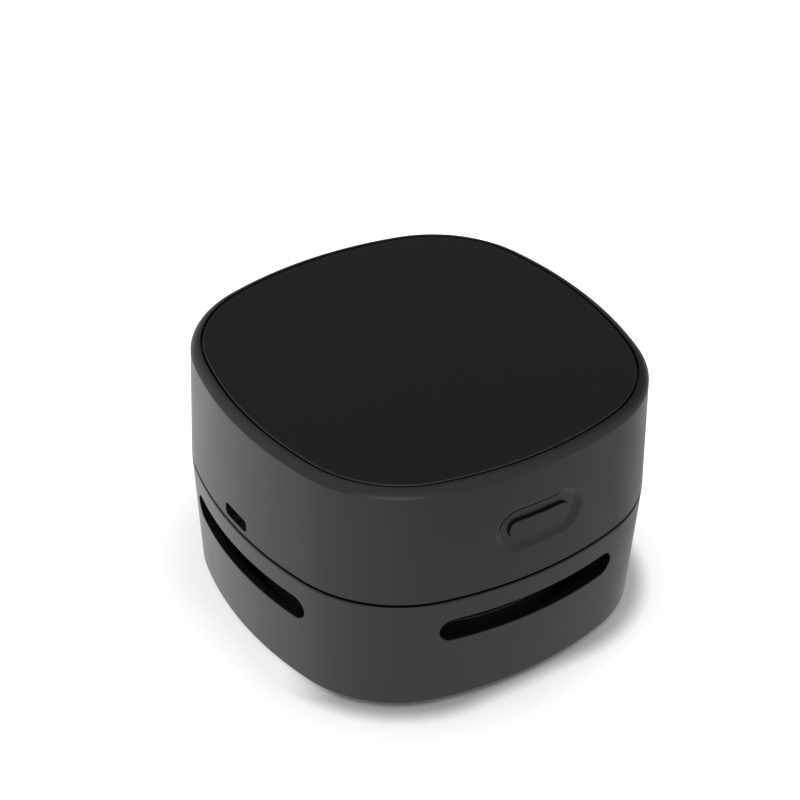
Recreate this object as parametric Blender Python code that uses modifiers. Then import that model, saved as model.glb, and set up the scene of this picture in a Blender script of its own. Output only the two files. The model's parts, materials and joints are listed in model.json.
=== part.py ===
"""Desktop mini vacuum cleaner, built as an assembly of separate pieces.

Units are metres and +Z is up. The origin lies under the middle of the base,
on the surface that the feet stand on. The power button faces -Y and the
charging port faces -X. The dust bin is the lower half. The motor unit is the
upper half, which plugs into the bin and lifts off it.
"""

import math

import bmesh
import bpy
from mathutils import Matrix, Vector

# Outline shared by the shells, the panel and the tray
HALF_WIDTH = 0.0425
SIDE_RADIUS = 0.0808
CORNER_RADIUS = 0.0268
WALL = 0.0018

# Lower shell
EDGE_LIFT = 0.0010
LOWER_HEIGHT = 0.02653
LOWER_DRAFT = 0.00143
EDGE_ROUND = 0.0005
SEAM_CHAMFER = 0.0002
FLOOR_RISE = 0.0040
FLOOR_THICK = 0.0015
SLOT_LENGTH = 0.0410
SLOT_HEIGHT = 0.0055
SLOT_RISE = 0.0185
LEG_RADIUS = 0.0038
LEG_INSET = 0.0082

# Upper shell and its panel
SEAM_GAP = 0.0003
UPPER_WALL_HEIGHT = 0.02494
UPPER_DRAFT = 0.00068
RIM_HEIGHT = 0.00154
RIM_WIDTH = 0.00206
RIM_BEND_DEG = 52.0
PANEL_GAP = 0.0003
PANEL_THICK = 0.0012
WEB_THICK = 0.0015
BOSS_RADIUS = 0.0030
BOSS_INSET = 0.0077

# Clearances
SEAT_GAP = 0.0003
FIT_GAP = 0.0001
RUNNING_GAP = 0.0005
OVERRUN = 0.0010

# Feet
FOOT_RADIUS = 0.0032
FOOT_THICK = 0.0013

# Brush under the floor
BRUSH_RING_STEP = 0.0063
BRUSH_RING_WIDTH = 0.0062
BRUSH_RING_THICK = 0.0015
BRISTLE_WIDTH = 0.0020
BRISTLE_GROOVE = 0.0008
BRISTLE_STAND = 0.0003
BRISTLE_ARC_DEG = 64.0

# Dust cup, its seal and the filter
CUP_MARGIN = 0.00527
CUP_WALL = 0.0012
CUP_FLOOR = 0.0012
INLET_BORE_RADIUS = 0.0070
INLET_WALL = 0.0012
INLET_BELOW_RIM = 0.0015
SEAL_WIDTH = 0.0014
SEAL_THICK = 0.0010
FILTER_FRAME_WIDTH = 0.0050
FILTER_FRAME_THICK = 0.0020
FILTER_RIB_WIDTH = 0.0016
FILTER_RIB_THICK = 0.0008

# Fan
HOUSING_STEP = 0.0010
HOUSING_THICK = 0.0012
HOUSING_INLET_RADIUS = 0.0090
HOUSING_POST_RADIUS = 0.0020
BLADE_HEIGHT = 0.0038
BLADE_THICK = 0.0010
BLADE_INNER_RADIUS = 0.0095
BLADE_SWEEP_DEG = 48.0
BACKPLATE_THICK = 0.0012
IMPELLER_MARGIN = 0.0020
HUB_RADIUS = 0.0055
HUB_NOSE_RADIUS = 0.0034
HUB_NOSE = 0.0014

# Tray that carries the motor, the cell and the boards
TRAY_DROP = 0.00183
TRAY_FLOOR = 0.0020
TRAY_WALL = 0.0012
TRAY_OVERLAP = 0.0024

# Motor
CAN_RADIUS = 0.0122
CAN_LENGTH = 0.0165
CAN_WALL = 0.0008
CAN_BOSS_RADIUS = 0.0032
CAN_BOSS_HEIGHT = 0.0010
SHAFT_RADIUS = 0.0010
BUSH_WALL = 0.0012
BUSH_LENGTH = 0.0026
END_CAP_FLANGE = 0.0015
END_CAP_PLUG = 0.0025
MAGNET_THICK = 0.0016
MAGNET_LENGTH = 0.0100
MAGNET_ARC_DEG = 132.0
ARMATURE_GAP = 0.0006
ARMATURE_SLOT = 0.0013
ARMATURE_SLOT_DEPTH = 0.0036
COMMUTATOR_RADIUS = 0.0028
COMMUTATOR_LENGTH = 0.0024
TERMINAL_WIDTH = 0.0024
TERMINAL_THICK = 0.0005
TERMINAL_RISE = 0.0018
TERMINAL_OFFSET = 0.0075

# Cell and its holder
CELL_RADIUS = 0.00705
CELL_END_ROOM = 0.00135
CELL_NUB_RADIUS = 0.0025
CELL_NUB_HEIGHT = 0.0008
HOLDER_WALL = 0.0012
HOLDER_FLOOR = 0.0010

# Charging port and its board
PORT_WIDTH = 0.0079
PORT_HEIGHT = 0.0027
PORT_CORNER = 0.0009
PORT_RISE = 0.00254
SOCKET_WIDTH = 0.0075
SOCKET_HEIGHT = 0.0025
SOCKET_DEPTH = 0.0056
SOCKET_SHEET = 0.0003
SOCKET_BACK = 0.0010
SOCKET_SETBACK = 0.0003
TONGUE_WIDTH = 0.0040
TONGUE_THICK = 0.0006
BOARD_THICK = 0.0016
CHARGE_BOARD_LENGTH = 0.0185
CHARGE_BOARD_WIDTH = 0.0180
CHIP_LENGTH = 0.0050
CHIP_WIDTH = 0.0040
CHIP_HEIGHT = 0.0015
LIGHT_LENGTH = 0.0016
LIGHT_WIDTH = 0.0010
LIGHT_HEIGHT = 0.0007
BOARD_POST_RADIUS = 0.0022
BOARD_EDGE_MARGIN = 0.0025

# Power button and its switch
BUTTON_LENGTH = 0.0144
BUTTON_HEIGHT = 0.0044
BUTTON_RISE = 0.01282
BUTTON_SINK = 0.00025
BUTTON_GAP = 0.0003
BUTTON_FLANGE = 0.0015
BUTTON_FLANGE_THICK = 0.0010
BUTTON_STEM_RADIUS = 0.0016
BUTTON_STEM = 0.0008
DISH_LENGTH = 0.0200
DISH_HEIGHT = 0.0093
DISH_DEPTH = 0.0009
PLUNGER_SIDE = 0.0026
PLUNGER_OUT = 0.0014
PLUNGER_IN = 0.0016
PRESS_TRAVEL = 0.0010
SWITCH_SIDE = 0.0070
SWITCH_DEPTH = 0.0038
SWITCH_BOARD_WIDTH = 0.0200
SWITCH_BOARD_ABOVE = 0.0060
GUIDE_WIDTH = 0.0030
GUIDE_DEPTH = 0.0016
GUIDE_HEIGHT = 0.0060

# Self-tapping screws
SCREW_RADIUS = 0.0010
SCREW_HEAD_RADIUS = 0.0020
SCREW_HEAD_THICK = 0.0010
SCREW_BITE = 0.0050
SCREW_SLOT = 0.0005
SCREW_SLOT_DEPTH = 0.0004
MOTOR_SCREW_OFFSET = 0.0075
MOTOR_SCREW_HEAD_THICK = 0.0008

# Wires
WIRE_RADIUS = 0.0006
WIRE_STEP = 0.0030
WIRE_RISE = 0.0030

# Counts of facets and repeats
SIDE_STEPS = 6
CORNER_STEPS = 8
TURN_STEPS = 40
SMALL_STEPS = 16
STADIUM_STEPS = 8
RIM_STEPS = 4
BLADE_COUNT = 9
BLADE_STEPS = 4
POLE_COUNT = 3
SMOOTH_DEG = 35.0
MERGE = 0.000001

# Levels, from the surface that the feet stand on up to the panel
SHELL_FLOOR_UNDER_Z = EDGE_LIFT + FLOOR_RISE
SHELL_FLOOR_TOP_Z = SHELL_FLOOR_UNDER_Z + FLOOR_THICK
LOWER_TOP_Z = EDGE_LIFT + LOWER_HEIGHT
UPPER_BOTTOM_Z = LOWER_TOP_Z + SEAM_GAP
CREASE_Z = UPPER_BOTTOM_Z + UPPER_WALL_HEIGHT
TOP_Z = CREASE_Z + RIM_HEIGHT
PANEL_BOTTOM_Z = TOP_Z - PANEL_THICK
RECESS_Z = PANEL_BOTTOM_Z - SEAT_GAP
WEB_UNDER_Z = RECESS_Z - WEB_THICK
TRAY_TOP_Z = UPPER_BOTTOM_Z - TRAY_DROP
TRAY_BOTTOM_Z = TRAY_TOP_Z - TRAY_FLOOR
TRAY_RIM_Z = UPPER_BOTTOM_Z + TRAY_OVERLAP
IMPELLER_TOP_Z = TRAY_BOTTOM_Z - RUNNING_GAP
BACKPLATE_BOTTOM_Z = IMPELLER_TOP_Z - BACKPLATE_THICK
BLADE_BOTTOM_Z = BACKPLATE_BOTTOM_Z - BLADE_HEIGHT
HOUSING_TOP_Z = BLADE_BOTTOM_Z - RUNNING_GAP
HOUSING_BOTTOM_Z = HOUSING_TOP_Z - HOUSING_THICK
FILTER_TOP_Z = HOUSING_BOTTOM_Z - SEAT_GAP
FILTER_BOTTOM_Z = FILTER_TOP_Z - FILTER_FRAME_THICK
SEAL_TOP_Z = FILTER_BOTTOM_Z - SEAT_GAP
SEAL_BOTTOM_Z = SEAL_TOP_Z - SEAL_THICK
CUP_RIM_Z = SEAL_BOTTOM_Z - SEAT_GAP
CUP_BOTTOM_Z = SHELL_FLOOR_TOP_Z + SEAT_GAP
INLET_TOP_Z = CUP_RIM_Z - INLET_BELOW_RIM
MOTOR_Z = TRAY_TOP_Z + SEAT_GAP
CAN_TOP_Z = MOTOR_Z + CAN_LENGTH
END_CAP_TOP_Z = CAN_TOP_Z + SEAT_GAP + END_CAP_FLANGE
TERMINAL_TOP_Z = END_CAP_TOP_Z + TERMINAL_RISE
PORT_Z = UPPER_BOTTOM_Z + PORT_RISE
CHARGE_BOARD_TOP_Z = PORT_Z - SOCKET_HEIGHT / 2 - SEAT_GAP
CHARGE_BOARD_Z = CHARGE_BOARD_TOP_Z - BOARD_THICK
BUTTON_Z = UPPER_BOTTOM_Z + BUTTON_RISE

# Places across the plan
PANEL_RECESS_INSET = UPPER_DRAFT + RIM_WIDTH
CAN_INNER_RADIUS = CAN_RADIUS - CAN_WALL
BUSH_RADIUS = SHAFT_RADIUS + FIT_GAP + BUSH_WALL
MAGNET_OUTER_RADIUS = CAN_INNER_RADIUS - SEAT_GAP
MAGNET_INNER_RADIUS = MAGNET_OUTER_RADIUS - MAGNET_THICK
ARMATURE_RADIUS = MAGNET_INNER_RADIUS - ARMATURE_GAP
CUP_RADIUS = HALF_WIDTH - LOWER_DRAFT - WALL - CUP_MARGIN
HOUSING_RADIUS = CUP_RADIUS - HOUSING_STEP
HOUSING_POST_PLACE = HOUSING_RADIUS - HOUSING_POST_RADIUS
IMPELLER_RADIUS = HOUSING_POST_PLACE - HOUSING_POST_RADIUS - IMPELLER_MARGIN
BRUSH_RING_OUTER = CUP_RADIUS - BRUSH_RING_STEP
BRUSH_RING_INNER = BRUSH_RING_OUTER - BRUSH_RING_WIDTH
CELL_Z = TRAY_TOP_Z + SEAT_GAP + HOLDER_FLOOR + SEAT_GAP + CELL_RADIUS
CELL_TOP_Z = CELL_Z + CELL_RADIUS
BRISTLE_RADIUS = (BRUSH_RING_INNER + BRUSH_RING_OUTER) / 2
BRUSH_RING_TOP_Z = SHELL_FLOOR_UNDER_Z - SEAT_GAP
BRUSH_RING_BOTTOM_Z = BRUSH_RING_TOP_Z - BRUSH_RING_THICK
DIAGONALS_DEG = (45.0, 135.0, 225.0, 315.0)


def lower_draft(height):
    """Inset of the lower shell's outer face at a height above its edge."""
    return LOWER_DRAFT * (1 - height / LOWER_HEIGHT)


def upper_draft(height):
    """Inset of the upper shell's outer face at a height above its edge."""
    return UPPER_DRAFT * height / UPPER_WALL_HEIGHT


def outline_centres():
    """Centre of a side's arc, centre of a corner's arc and where they meet."""
    side_centre = HALF_WIDTH - SIDE_RADIUS
    reach = SIDE_RADIUS - CORNER_RADIUS
    corner_centre = (side_centre + math.sqrt(2 * reach ** 2 - side_centre ** 2)) / 2
    meet = math.atan2(corner_centre, corner_centre - side_centre)
    return side_centre, corner_centre, meet


def diagonal_place(inset):
    """Distance from the middle to a point inside a corner of the outline."""
    _side_centre, corner_centre, _meet = outline_centres()
    return corner_centre * math.sqrt(2) + CORNER_RADIUS - inset


def half_width_at(offset, inset):
    """How far a side stands from the middle, at an offset along it."""
    side_centre, corner_centre, meet = outline_centres()
    side_radius = SIDE_RADIUS - inset
    if offset <= side_radius * math.sin(meet):
        return side_centre + math.sqrt(side_radius ** 2 - offset ** 2)
    corner_radius = CORNER_RADIUS - inset
    return corner_centre + math.sqrt(corner_radius ** 2 - (offset - corner_centre) ** 2)


TRAY_INSET = WALL + lower_draft(TRAY_BOTTOM_Z - EDGE_LIFT) + SEAT_GAP
BUTTON_WALL_INSET = upper_draft(BUTTON_RISE)
BUTTON_WALL_Y = -HALF_WIDTH + BUTTON_WALL_INSET
FLANGE_HALF = BUTTON_LENGTH / 2 + BUTTON_FLANGE
FLANGE_RISE = upper_draft(BUTTON_HEIGHT / 2 + BUTTON_FLANGE)
FLANGE_Y = SEAT_GAP - half_width_at(FLANGE_HALF, BUTTON_WALL_INSET + WALL + FLANGE_RISE)
STEM_END_Y = FLANGE_Y + BUTTON_FLANGE_THICK + BUTTON_STEM
PLUNGER_Y = STEM_END_Y + SEAT_GAP
SWITCH_Y = PLUNGER_Y + PLUNGER_OUT
SWITCH_BOARD_Y = SWITCH_Y + SWITCH_DEPTH + SEAT_GAP
SWITCH_BOARD_BACK_Y = SWITCH_BOARD_Y + BOARD_THICK
SOCKET_MOUTH_X = -HALF_WIDTH + upper_draft(PORT_RISE) + WALL + SOCKET_SETBACK
TRAY_INNER_INSET = TRAY_INSET + TRAY_WALL
CHARGE_BOARD_X = SEAT_GAP - half_width_at(CHARGE_BOARD_WIDTH / 2, TRAY_INNER_INSET)
CHARGE_BOARD_INNER_X = CHARGE_BOARD_X + CHARGE_BOARD_LENGTH
HOLDER_REACH = diagonal_place(BOSS_INSET) / math.sqrt(2) - BOSS_RADIUS - CELL_END_ROOM
CELL_LENGTH = 2 * (HOLDER_REACH - HOLDER_WALL - SEAT_GAP)
HOLDER_BACK_Y = half_width_at(HOLDER_REACH, TRAY_INNER_INSET) - SEAT_GAP
CELL_Y = HOLDER_BACK_Y - HOLDER_WALL / 2 - SEAT_GAP - CELL_RADIUS
WIRE_LANE = (CAN_RADIUS + CELL_Y - CELL_RADIUS) / 2

# Finishes: colour, roughness and metallic value
FINISHES = {
    "shell_plastic": ((0.022, 0.022, 0.023), 0.38, 0.0),
    "panel_plastic": ((0.010, 0.010, 0.011), 0.30, 0.0),
    "inner_plastic": ((0.030, 0.030, 0.032), 0.50, 0.0),
    "cup_plastic": ((0.300, 0.310, 0.320), 0.25, 0.0),
    "fan_plastic": ((0.560, 0.560, 0.550), 0.35, 0.0),
    "rubber": ((0.018, 0.018, 0.018), 0.80, 0.0),
    "bristle": ((0.030, 0.030, 0.032), 0.55, 0.0),
    "filter_cloth": ((0.720, 0.720, 0.700), 0.90, 0.0),
    "steel": ((0.560, 0.570, 0.580), 0.30, 1.0),
    "brass": ((0.700, 0.500, 0.250), 0.32, 1.0),
    "magnet": ((0.060, 0.060, 0.062), 0.60, 0.2),
    "winding": ((0.480, 0.200, 0.080), 0.40, 0.8),
    "cell_sleeve": ((0.050, 0.160, 0.360), 0.35, 0.0),
    "board": ((0.020, 0.140, 0.050), 0.45, 0.0),
    "chip": ((0.016, 0.016, 0.017), 0.45, 0.0),
    "lamp": ((0.850, 0.830, 0.700), 0.20, 0.0),
    "wire_red": ((0.500, 0.020, 0.020), 0.40, 0.0),
    "wire_black": ((0.015, 0.015, 0.016), 0.40, 0.0),
}


def clear_scene():
    """Remove what the file opened with."""
    for old in list(bpy.data.objects):
        bpy.data.objects.remove(old, do_unlink=True)


def make_collection(name):
    """Link a new collection to the scene."""
    collection = bpy.data.collections.new(name)
    bpy.context.scene.collection.children.link(collection)
    return collection


def make_material(piece, finish):
    """One Principled material of its own for a piece."""
    colour, roughness, metallic = FINISHES[finish]
    material = bpy.data.materials.new(piece + "_" + finish)
    material.use_nodes = True
    shader = material.node_tree.nodes["Principled BSDF"]
    shader.inputs["Base Color"].default_value = (*colour, 1.0)
    shader.inputs["Roughness"].default_value = roughness
    shader.inputs["Metallic"].default_value = metallic
    material.diffuse_color = (*colour, 1.0)
    return material


def smooth(mesh):
    """Shade a mesh smooth, with its corners kept sharp."""
    mesh.shade_smooth()
    mesh.set_sharp_from_angle(angle=math.radians(SMOOTH_DEG))


class Bench:
    """Where pieces and cutters are put while the assembly is built."""

    def __init__(self):
        self.parts = make_collection("desktop_mini_vacuum")
        self.cutters = make_collection("cutters")

    def piece(self, name, mesh, finish, place=(0.0, 0.0, 0.0), turn=(0.0, 0.0, 0.0), carrier=None):
        """Add a named piece with its own material."""
        obj = bpy.data.objects.new(name, mesh)
        self.parts.objects.link(obj)
        obj.location = place
        obj.rotation_euler = turn
        mesh.materials.clear()
        mesh.materials.append(make_material(name, finish))
        if carrier is not None:
            obj.parent = carrier
            obj.matrix_parent_inverse = Matrix.Translation(carrier.location).inverted()
        return obj

    def cutter(self, name, mesh, place=(0.0, 0.0, 0.0), turn=(0.0, 0.0, 0.0)):
        """Add a guide solid that cuts or is joined and isn't a piece."""
        obj = bpy.data.objects.new(name, mesh)
        self.cutters.objects.link(obj)
        obj.location = place
        obj.rotation_euler = turn
        obj.hide_render = True
        obj.display_type = "WIRE"
        return obj

    def pivot(self, name, place):
        """Add an empty on a joint's axis."""
        empty = bpy.data.objects.new(name, None)
        self.parts.objects.link(empty)
        empty.location = place
        return empty


def apply_boolean(target, tool, operation):
    """Cut, join or keep what two solids share, as a live modifier."""
    modifier = target.modifiers.new(operation.lower() + "_" + tool.name, "BOOLEAN")
    modifier.operation = operation
    modifier.object = tool
    modifier.solver = "EXACT"


def cut(target, tool):
    """Take a tool's shape out of a solid."""
    apply_boolean(target, tool, "DIFFERENCE")


def join(target, tool):
    """Make a tool's shape part of a solid."""
    apply_boolean(target, tool, "UNION")


def polar(radius, degrees, height=0.0):
    """A point given by radius, bearing and height."""
    angle = math.radians(degrees)
    return (radius * math.cos(angle), radius * math.sin(angle), height)


def outline_points(inset):
    """Points of the rounded-square outline, drawn in by an inset."""
    side_centre, corner_centre, meet = outline_centres()
    arcs = []
    for step in range(SIDE_STEPS):
        angle = -meet + 2 * meet * step / SIDE_STEPS
        radius = SIDE_RADIUS - inset
        arcs.append((side_centre + radius * math.cos(angle), radius * math.sin(angle)))
    corner_sweep = math.pi / 2 - 2 * meet
    for step in range(CORNER_STEPS):
        angle = meet + corner_sweep * step / CORNER_STEPS
        radius = CORNER_RADIUS - inset
        arcs.append((corner_centre + radius * math.cos(angle),
                     corner_centre + radius * math.sin(angle)))
    points = []
    for quarter in range(4):
        turn = Matrix.Rotation(quarter * math.pi / 2, 2)
        points.extend(turn @ Vector(point) for point in arcs)
    return points


def outline_solid(name, profile):
    """Loft the outline through rings of (inset, height), with both ends closed."""
    mesh = bpy.data.meshes.new(name)
    shape = bmesh.new()
    rings = []
    for inset, height in profile:
        rings.append([shape.verts.new((x, y, height)) for x, y in outline_points(inset)])
    for lower, upper in zip(rings, rings[1:]):
        count = len(lower)
        for index in range(count):
            following = (index + 1) % count
            shape.faces.new((lower[index], lower[following], upper[following], upper[index]))
    shape.faces.new(rings[0])
    shape.faces.new(rings[-1])
    bmesh.ops.recalc_face_normals(shape, faces=shape.faces)
    shape.to_mesh(mesh)
    shape.free()
    smooth(mesh)
    return mesh


def mesh_from(obj):
    """Plain mesh of an object as it is evaluated, after which the object goes."""
    bpy.context.view_layer.update()
    graph = bpy.context.evaluated_depsgraph_get()
    mesh = bpy.data.meshes.new_from_object(obj.evaluated_get(graph))
    bpy.data.objects.remove(obj, do_unlink=True)
    return mesh


def turned(name, profile, closed=True, steps=TURN_STEPS):
    """Turn a profile of (radius, height) about Z with the Screw modifier."""
    line = bpy.data.meshes.new(name)
    edges = [(index, index + 1) for index in range(len(profile) - 1)]
    if closed:
        edges.append((len(profile) - 1, 0))
    line.from_pydata([(radius, 0.0, height) for radius, height in profile], edges, [])
    obj = bpy.data.objects.new(name, line)
    bpy.context.scene.collection.objects.link(obj)
    screw = obj.modifiers.new("turn", "SCREW")
    screw.axis = "Z"
    screw.angle = 2 * math.pi
    screw.steps = steps
    screw.render_steps = steps
    screw.use_merge_vertices = True
    screw.merge_threshold = MERGE
    mesh = mesh_from(obj)
    smooth(mesh)
    return mesh


def ring_profile(inner, outer, low, high):
    """Profile of a plain ring."""
    return [(inner, high), (outer, high), (outer, low), (inner, low)]


def rod(name, radius, low, high, steps=SMALL_STEPS):
    """Upright round bar between two heights."""
    mesh = bpy.data.meshes.new(name)
    shape = bmesh.new()
    middle = Matrix.Translation((0.0, 0.0, (low + high) / 2))
    bmesh.ops.create_cone(shape, cap_ends=True, segments=steps, radius1=radius,
                          radius2=radius, depth=high - low, matrix=middle)
    shape.to_mesh(mesh)
    shape.free()
    smooth(mesh)
    return mesh


def block(name, low, high):
    """Box between two corners."""
    low, high = Vector(low), Vector(high)
    mesh = bpy.data.meshes.new(name)
    shape = bmesh.new()
    size = high - low
    place = Matrix.Translation((low + high) / 2) @ Matrix.Diagonal((*size, 1.0))
    bmesh.ops.create_cube(shape, size=1.0, matrix=place)
    shape.to_mesh(mesh)
    shape.free()
    return mesh


def plates(name, outlines, low, high):
    """Flat plates of the given outlines, cut from one curve, between two heights."""
    curve = bpy.data.curves.new(name, "CURVE")
    curve.dimensions = "2D"
    curve.fill_mode = "BOTH"
    curve.extrude = (high - low) / 2
    for outline in outlines:
        spline = curve.splines.new("POLY")
        spline.points.add(len(outline) - 1)
        for point, (x, y) in zip(spline.points, outline):
            point.co = (x, y, 0.0, 1.0)
        spline.use_cyclic_u = True
    obj = bpy.data.objects.new(name, curve)
    bpy.context.scene.collection.objects.link(obj)
    mesh = mesh_from(obj)
    shape = bmesh.new()
    shape.from_mesh(mesh)
    bmesh.ops.remove_doubles(shape, verts=shape.verts, dist=MERGE)
    bmesh.ops.recalc_face_normals(shape, faces=shape.faces)
    bmesh.ops.translate(shape, verts=shape.verts, vec=(0.0, 0.0, (low + high) / 2))
    shape.to_mesh(mesh)
    shape.free()
    return mesh


def stadium(length, height):
    """Outline with straight sides and fully round ends."""
    radius = height / 2
    straight = length / 2 - radius
    points = []
    for side in (1, -1):
        for step in range(STADIUM_STEPS + 1):
            angle = -math.pi / 2 + math.pi * step / STADIUM_STEPS
            points.append((side * (straight + radius * math.cos(angle)),
                           side * radius * math.sin(angle)))
    return points


def rounded_box(length, height, corner):
    """Outline of a rectangle with round corners."""
    points = []
    corner_steps = STADIUM_STEPS // 2
    for quarter, (side_x, side_y) in enumerate(((1, 1), (-1, 1), (-1, -1), (1, -1))):
        for step in range(corner_steps + 1):
            angle = math.pi / 2 * (quarter + step / corner_steps)
            points.append((side_x * (length / 2 - corner) + corner * math.cos(angle),
                           side_y * (height / 2 - corner) + corner * math.sin(angle)))
    return points


def arc_band(inner, outer, middle_deg, sweep_deg, steps):
    """Outline of a stretch of a ring."""
    bearings = [middle_deg + sweep_deg * (step / steps - 0.5) for step in range(steps + 1)]
    outside = [polar(outer, bearing)[:2] for bearing in bearings]
    inside = [polar(inner, bearing)[:2] for bearing in reversed(bearings)]
    return outside + inside


def smooth_route(marks):
    """Evenly spaced points on a smooth curve through a wire's marks."""
    marks = [Vector(mark) for mark in marks]
    padded = [2 * marks[0] - marks[1], *marks, 2 * marks[-1] - marks[-2]]
    points = [marks[0]]
    for index in range(1, len(padded) - 2):
        before, start, end, after = padded[index - 1:index + 3]
        count = max(2, round((end - start).length / WIRE_STEP))
        for step in range(1, count + 1):
            t = step / count
            points.append(0.5 * (2 * start + (end - before) * t
                                 + (2 * before - 5 * start + 4 * end - after) * t ** 2
                                 + (3 * start - before - 3 * end + after) * t ** 3))
    return points


def wire(name, marks):
    """Round wire along a smooth route, with its ends closed."""
    curve = bpy.data.curves.new(name, "CURVE")
    curve.dimensions = "3D"
    curve.bevel_depth = WIRE_RADIUS
    curve.bevel_resolution = 2
    curve.use_fill_caps = True
    points = smooth_route(marks)
    spline = curve.splines.new("POLY")
    spline.points.add(len(points) - 1)
    for point, place in zip(spline.points, points):
        point.co = (*place, 1.0)
    obj = bpy.data.objects.new(name, curve)
    bpy.context.scene.collection.objects.link(obj)
    mesh = mesh_from(obj)
    shape = bmesh.new()
    shape.from_mesh(mesh)
    bmesh.ops.remove_doubles(shape, verts=shape.verts, dist=MERGE)
    bmesh.ops.recalc_face_normals(shape, faces=shape.faces)
    shape.to_mesh(mesh)
    shape.free()
    smooth(mesh)
    return mesh


def screw(name, head_radius, head_thick, shank):
    """Pan-head screw standing on its head, with its head's underside at zero."""
    profile = [(0.0, shank), (SCREW_RADIUS, shank), (SCREW_RADIUS, 0.0), (head_radius, 0.0),
               (head_radius, -head_thick), (0.0, -head_thick)]
    return turned(name, profile, closed=False, steps=SMALL_STEPS)


def cut_screw_slot(bench, obj, head_radius, head_thick, place):
    """Cut a driver's slot across a screw's head."""
    low = (-head_radius - OVERRUN, -SCREW_SLOT / 2, -head_thick - OVERRUN)
    high = (head_radius + OVERRUN, SCREW_SLOT / 2, -head_thick + SCREW_SLOT_DEPTH)
    slot = bench.cutter(obj.name + "_slot", block(obj.name + "_slot", low, high), place)
    cut(obj, slot)


def facing_front(y):
    """Place and turn that send a plate's +Z to -Y, standing at a depth y."""
    return (0.0, y, 0.0), (math.pi / 2, 0.0, 0.0)


def build_lower_shell(bench):
    """Bin's outer shell: drafted wall, raised floor, legs and four exhaust slots."""
    floor_top = FLOOR_RISE + FLOOR_THICK
    profile = [
        (lower_draft(FLOOR_RISE) + WALL, FLOOR_RISE),
        (LOWER_DRAFT + WALL, 0.0),
        (LOWER_DRAFT + EDGE_ROUND, 0.0),
        (lower_draft(EDGE_ROUND), EDGE_ROUND),
        (lower_draft(LOWER_HEIGHT - SEAM_CHAMFER), LOWER_HEIGHT - SEAM_CHAMFER),
        (SEAM_CHAMFER, LOWER_HEIGHT),
        (WALL, LOWER_HEIGHT),
        (lower_draft(floor_top) + WALL, floor_top),
    ]
    mesh = outline_solid("lower_shell", profile)
    shell = bench.piece("lower_shell", mesh, "shell_plastic", (0.0, 0.0, EDGE_LIFT))

    leg_bottom = FOOT_THICK + SEAT_GAP
    leg = rod("leg", LEG_RADIUS, leg_bottom, SHELL_FLOOR_UNDER_Z + FLOOR_THICK / 2)
    for number, bearing in enumerate(DIAGONALS_DEG, 1):
        tool = bench.cutter(f"leg_{number}", leg, polar(diagonal_place(LEG_INSET), bearing))
        join(shell, tool)

    slot_z = EDGE_LIFT + SLOT_RISE
    slot = plates("slot", [stadium(SLOT_LENGTH, SLOT_HEIGHT)], 0.0, WALL + DISH_LENGTH)
    for number in range(4):
        turn = (math.pi / 2, 0.0, number * math.pi / 2)
        bearing = number * 90.0 - 90.0
        place = polar(HALF_WIDTH - DISH_LENGTH / 2, bearing, slot_z)
        tool = bench.cutter(f"exhaust_slot_{number + 1}", slot, place, turn)
        cut(shell, tool)

    inlet = rod("shell_inlet", INLET_BORE_RADIUS + SEAT_GAP, SHELL_FLOOR_UNDER_Z - OVERRUN,
                SHELL_FLOOR_TOP_Z + OVERRUN, TURN_STEPS)
    cut(shell, bench.cutter("shell_inlet", inlet))
    pilot = rod("brush_pilot", SCREW_RADIUS + FIT_GAP, SHELL_FLOOR_UNDER_Z - OVERRUN,
                SHELL_FLOOR_TOP_Z + OVERRUN)
    for number, bearing in enumerate(DIAGONALS_DEG, 1):
        tool = bench.cutter(f"brush_pilot_{number}", pilot, polar(BRISTLE_RADIUS, bearing))
        cut(shell, tool)


def build_feet(bench):
    """Four rubber feet under the legs."""
    foot = [(0.0, FOOT_THICK), (FOOT_RADIUS, FOOT_THICK), (FOOT_RADIUS, SEAT_GAP),
            (FOOT_RADIUS - SEAT_GAP, 0.0), (0.0, 0.0)]
    for number, bearing in enumerate(DIAGONALS_DEG, 1):
        name = f"rubber_foot_{number}"
        mesh = turned(name, foot, closed=False, steps=SMALL_STEPS)
        bench.piece(name, mesh, "rubber", polar(diagonal_place(LEG_INSET), bearing))


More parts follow.
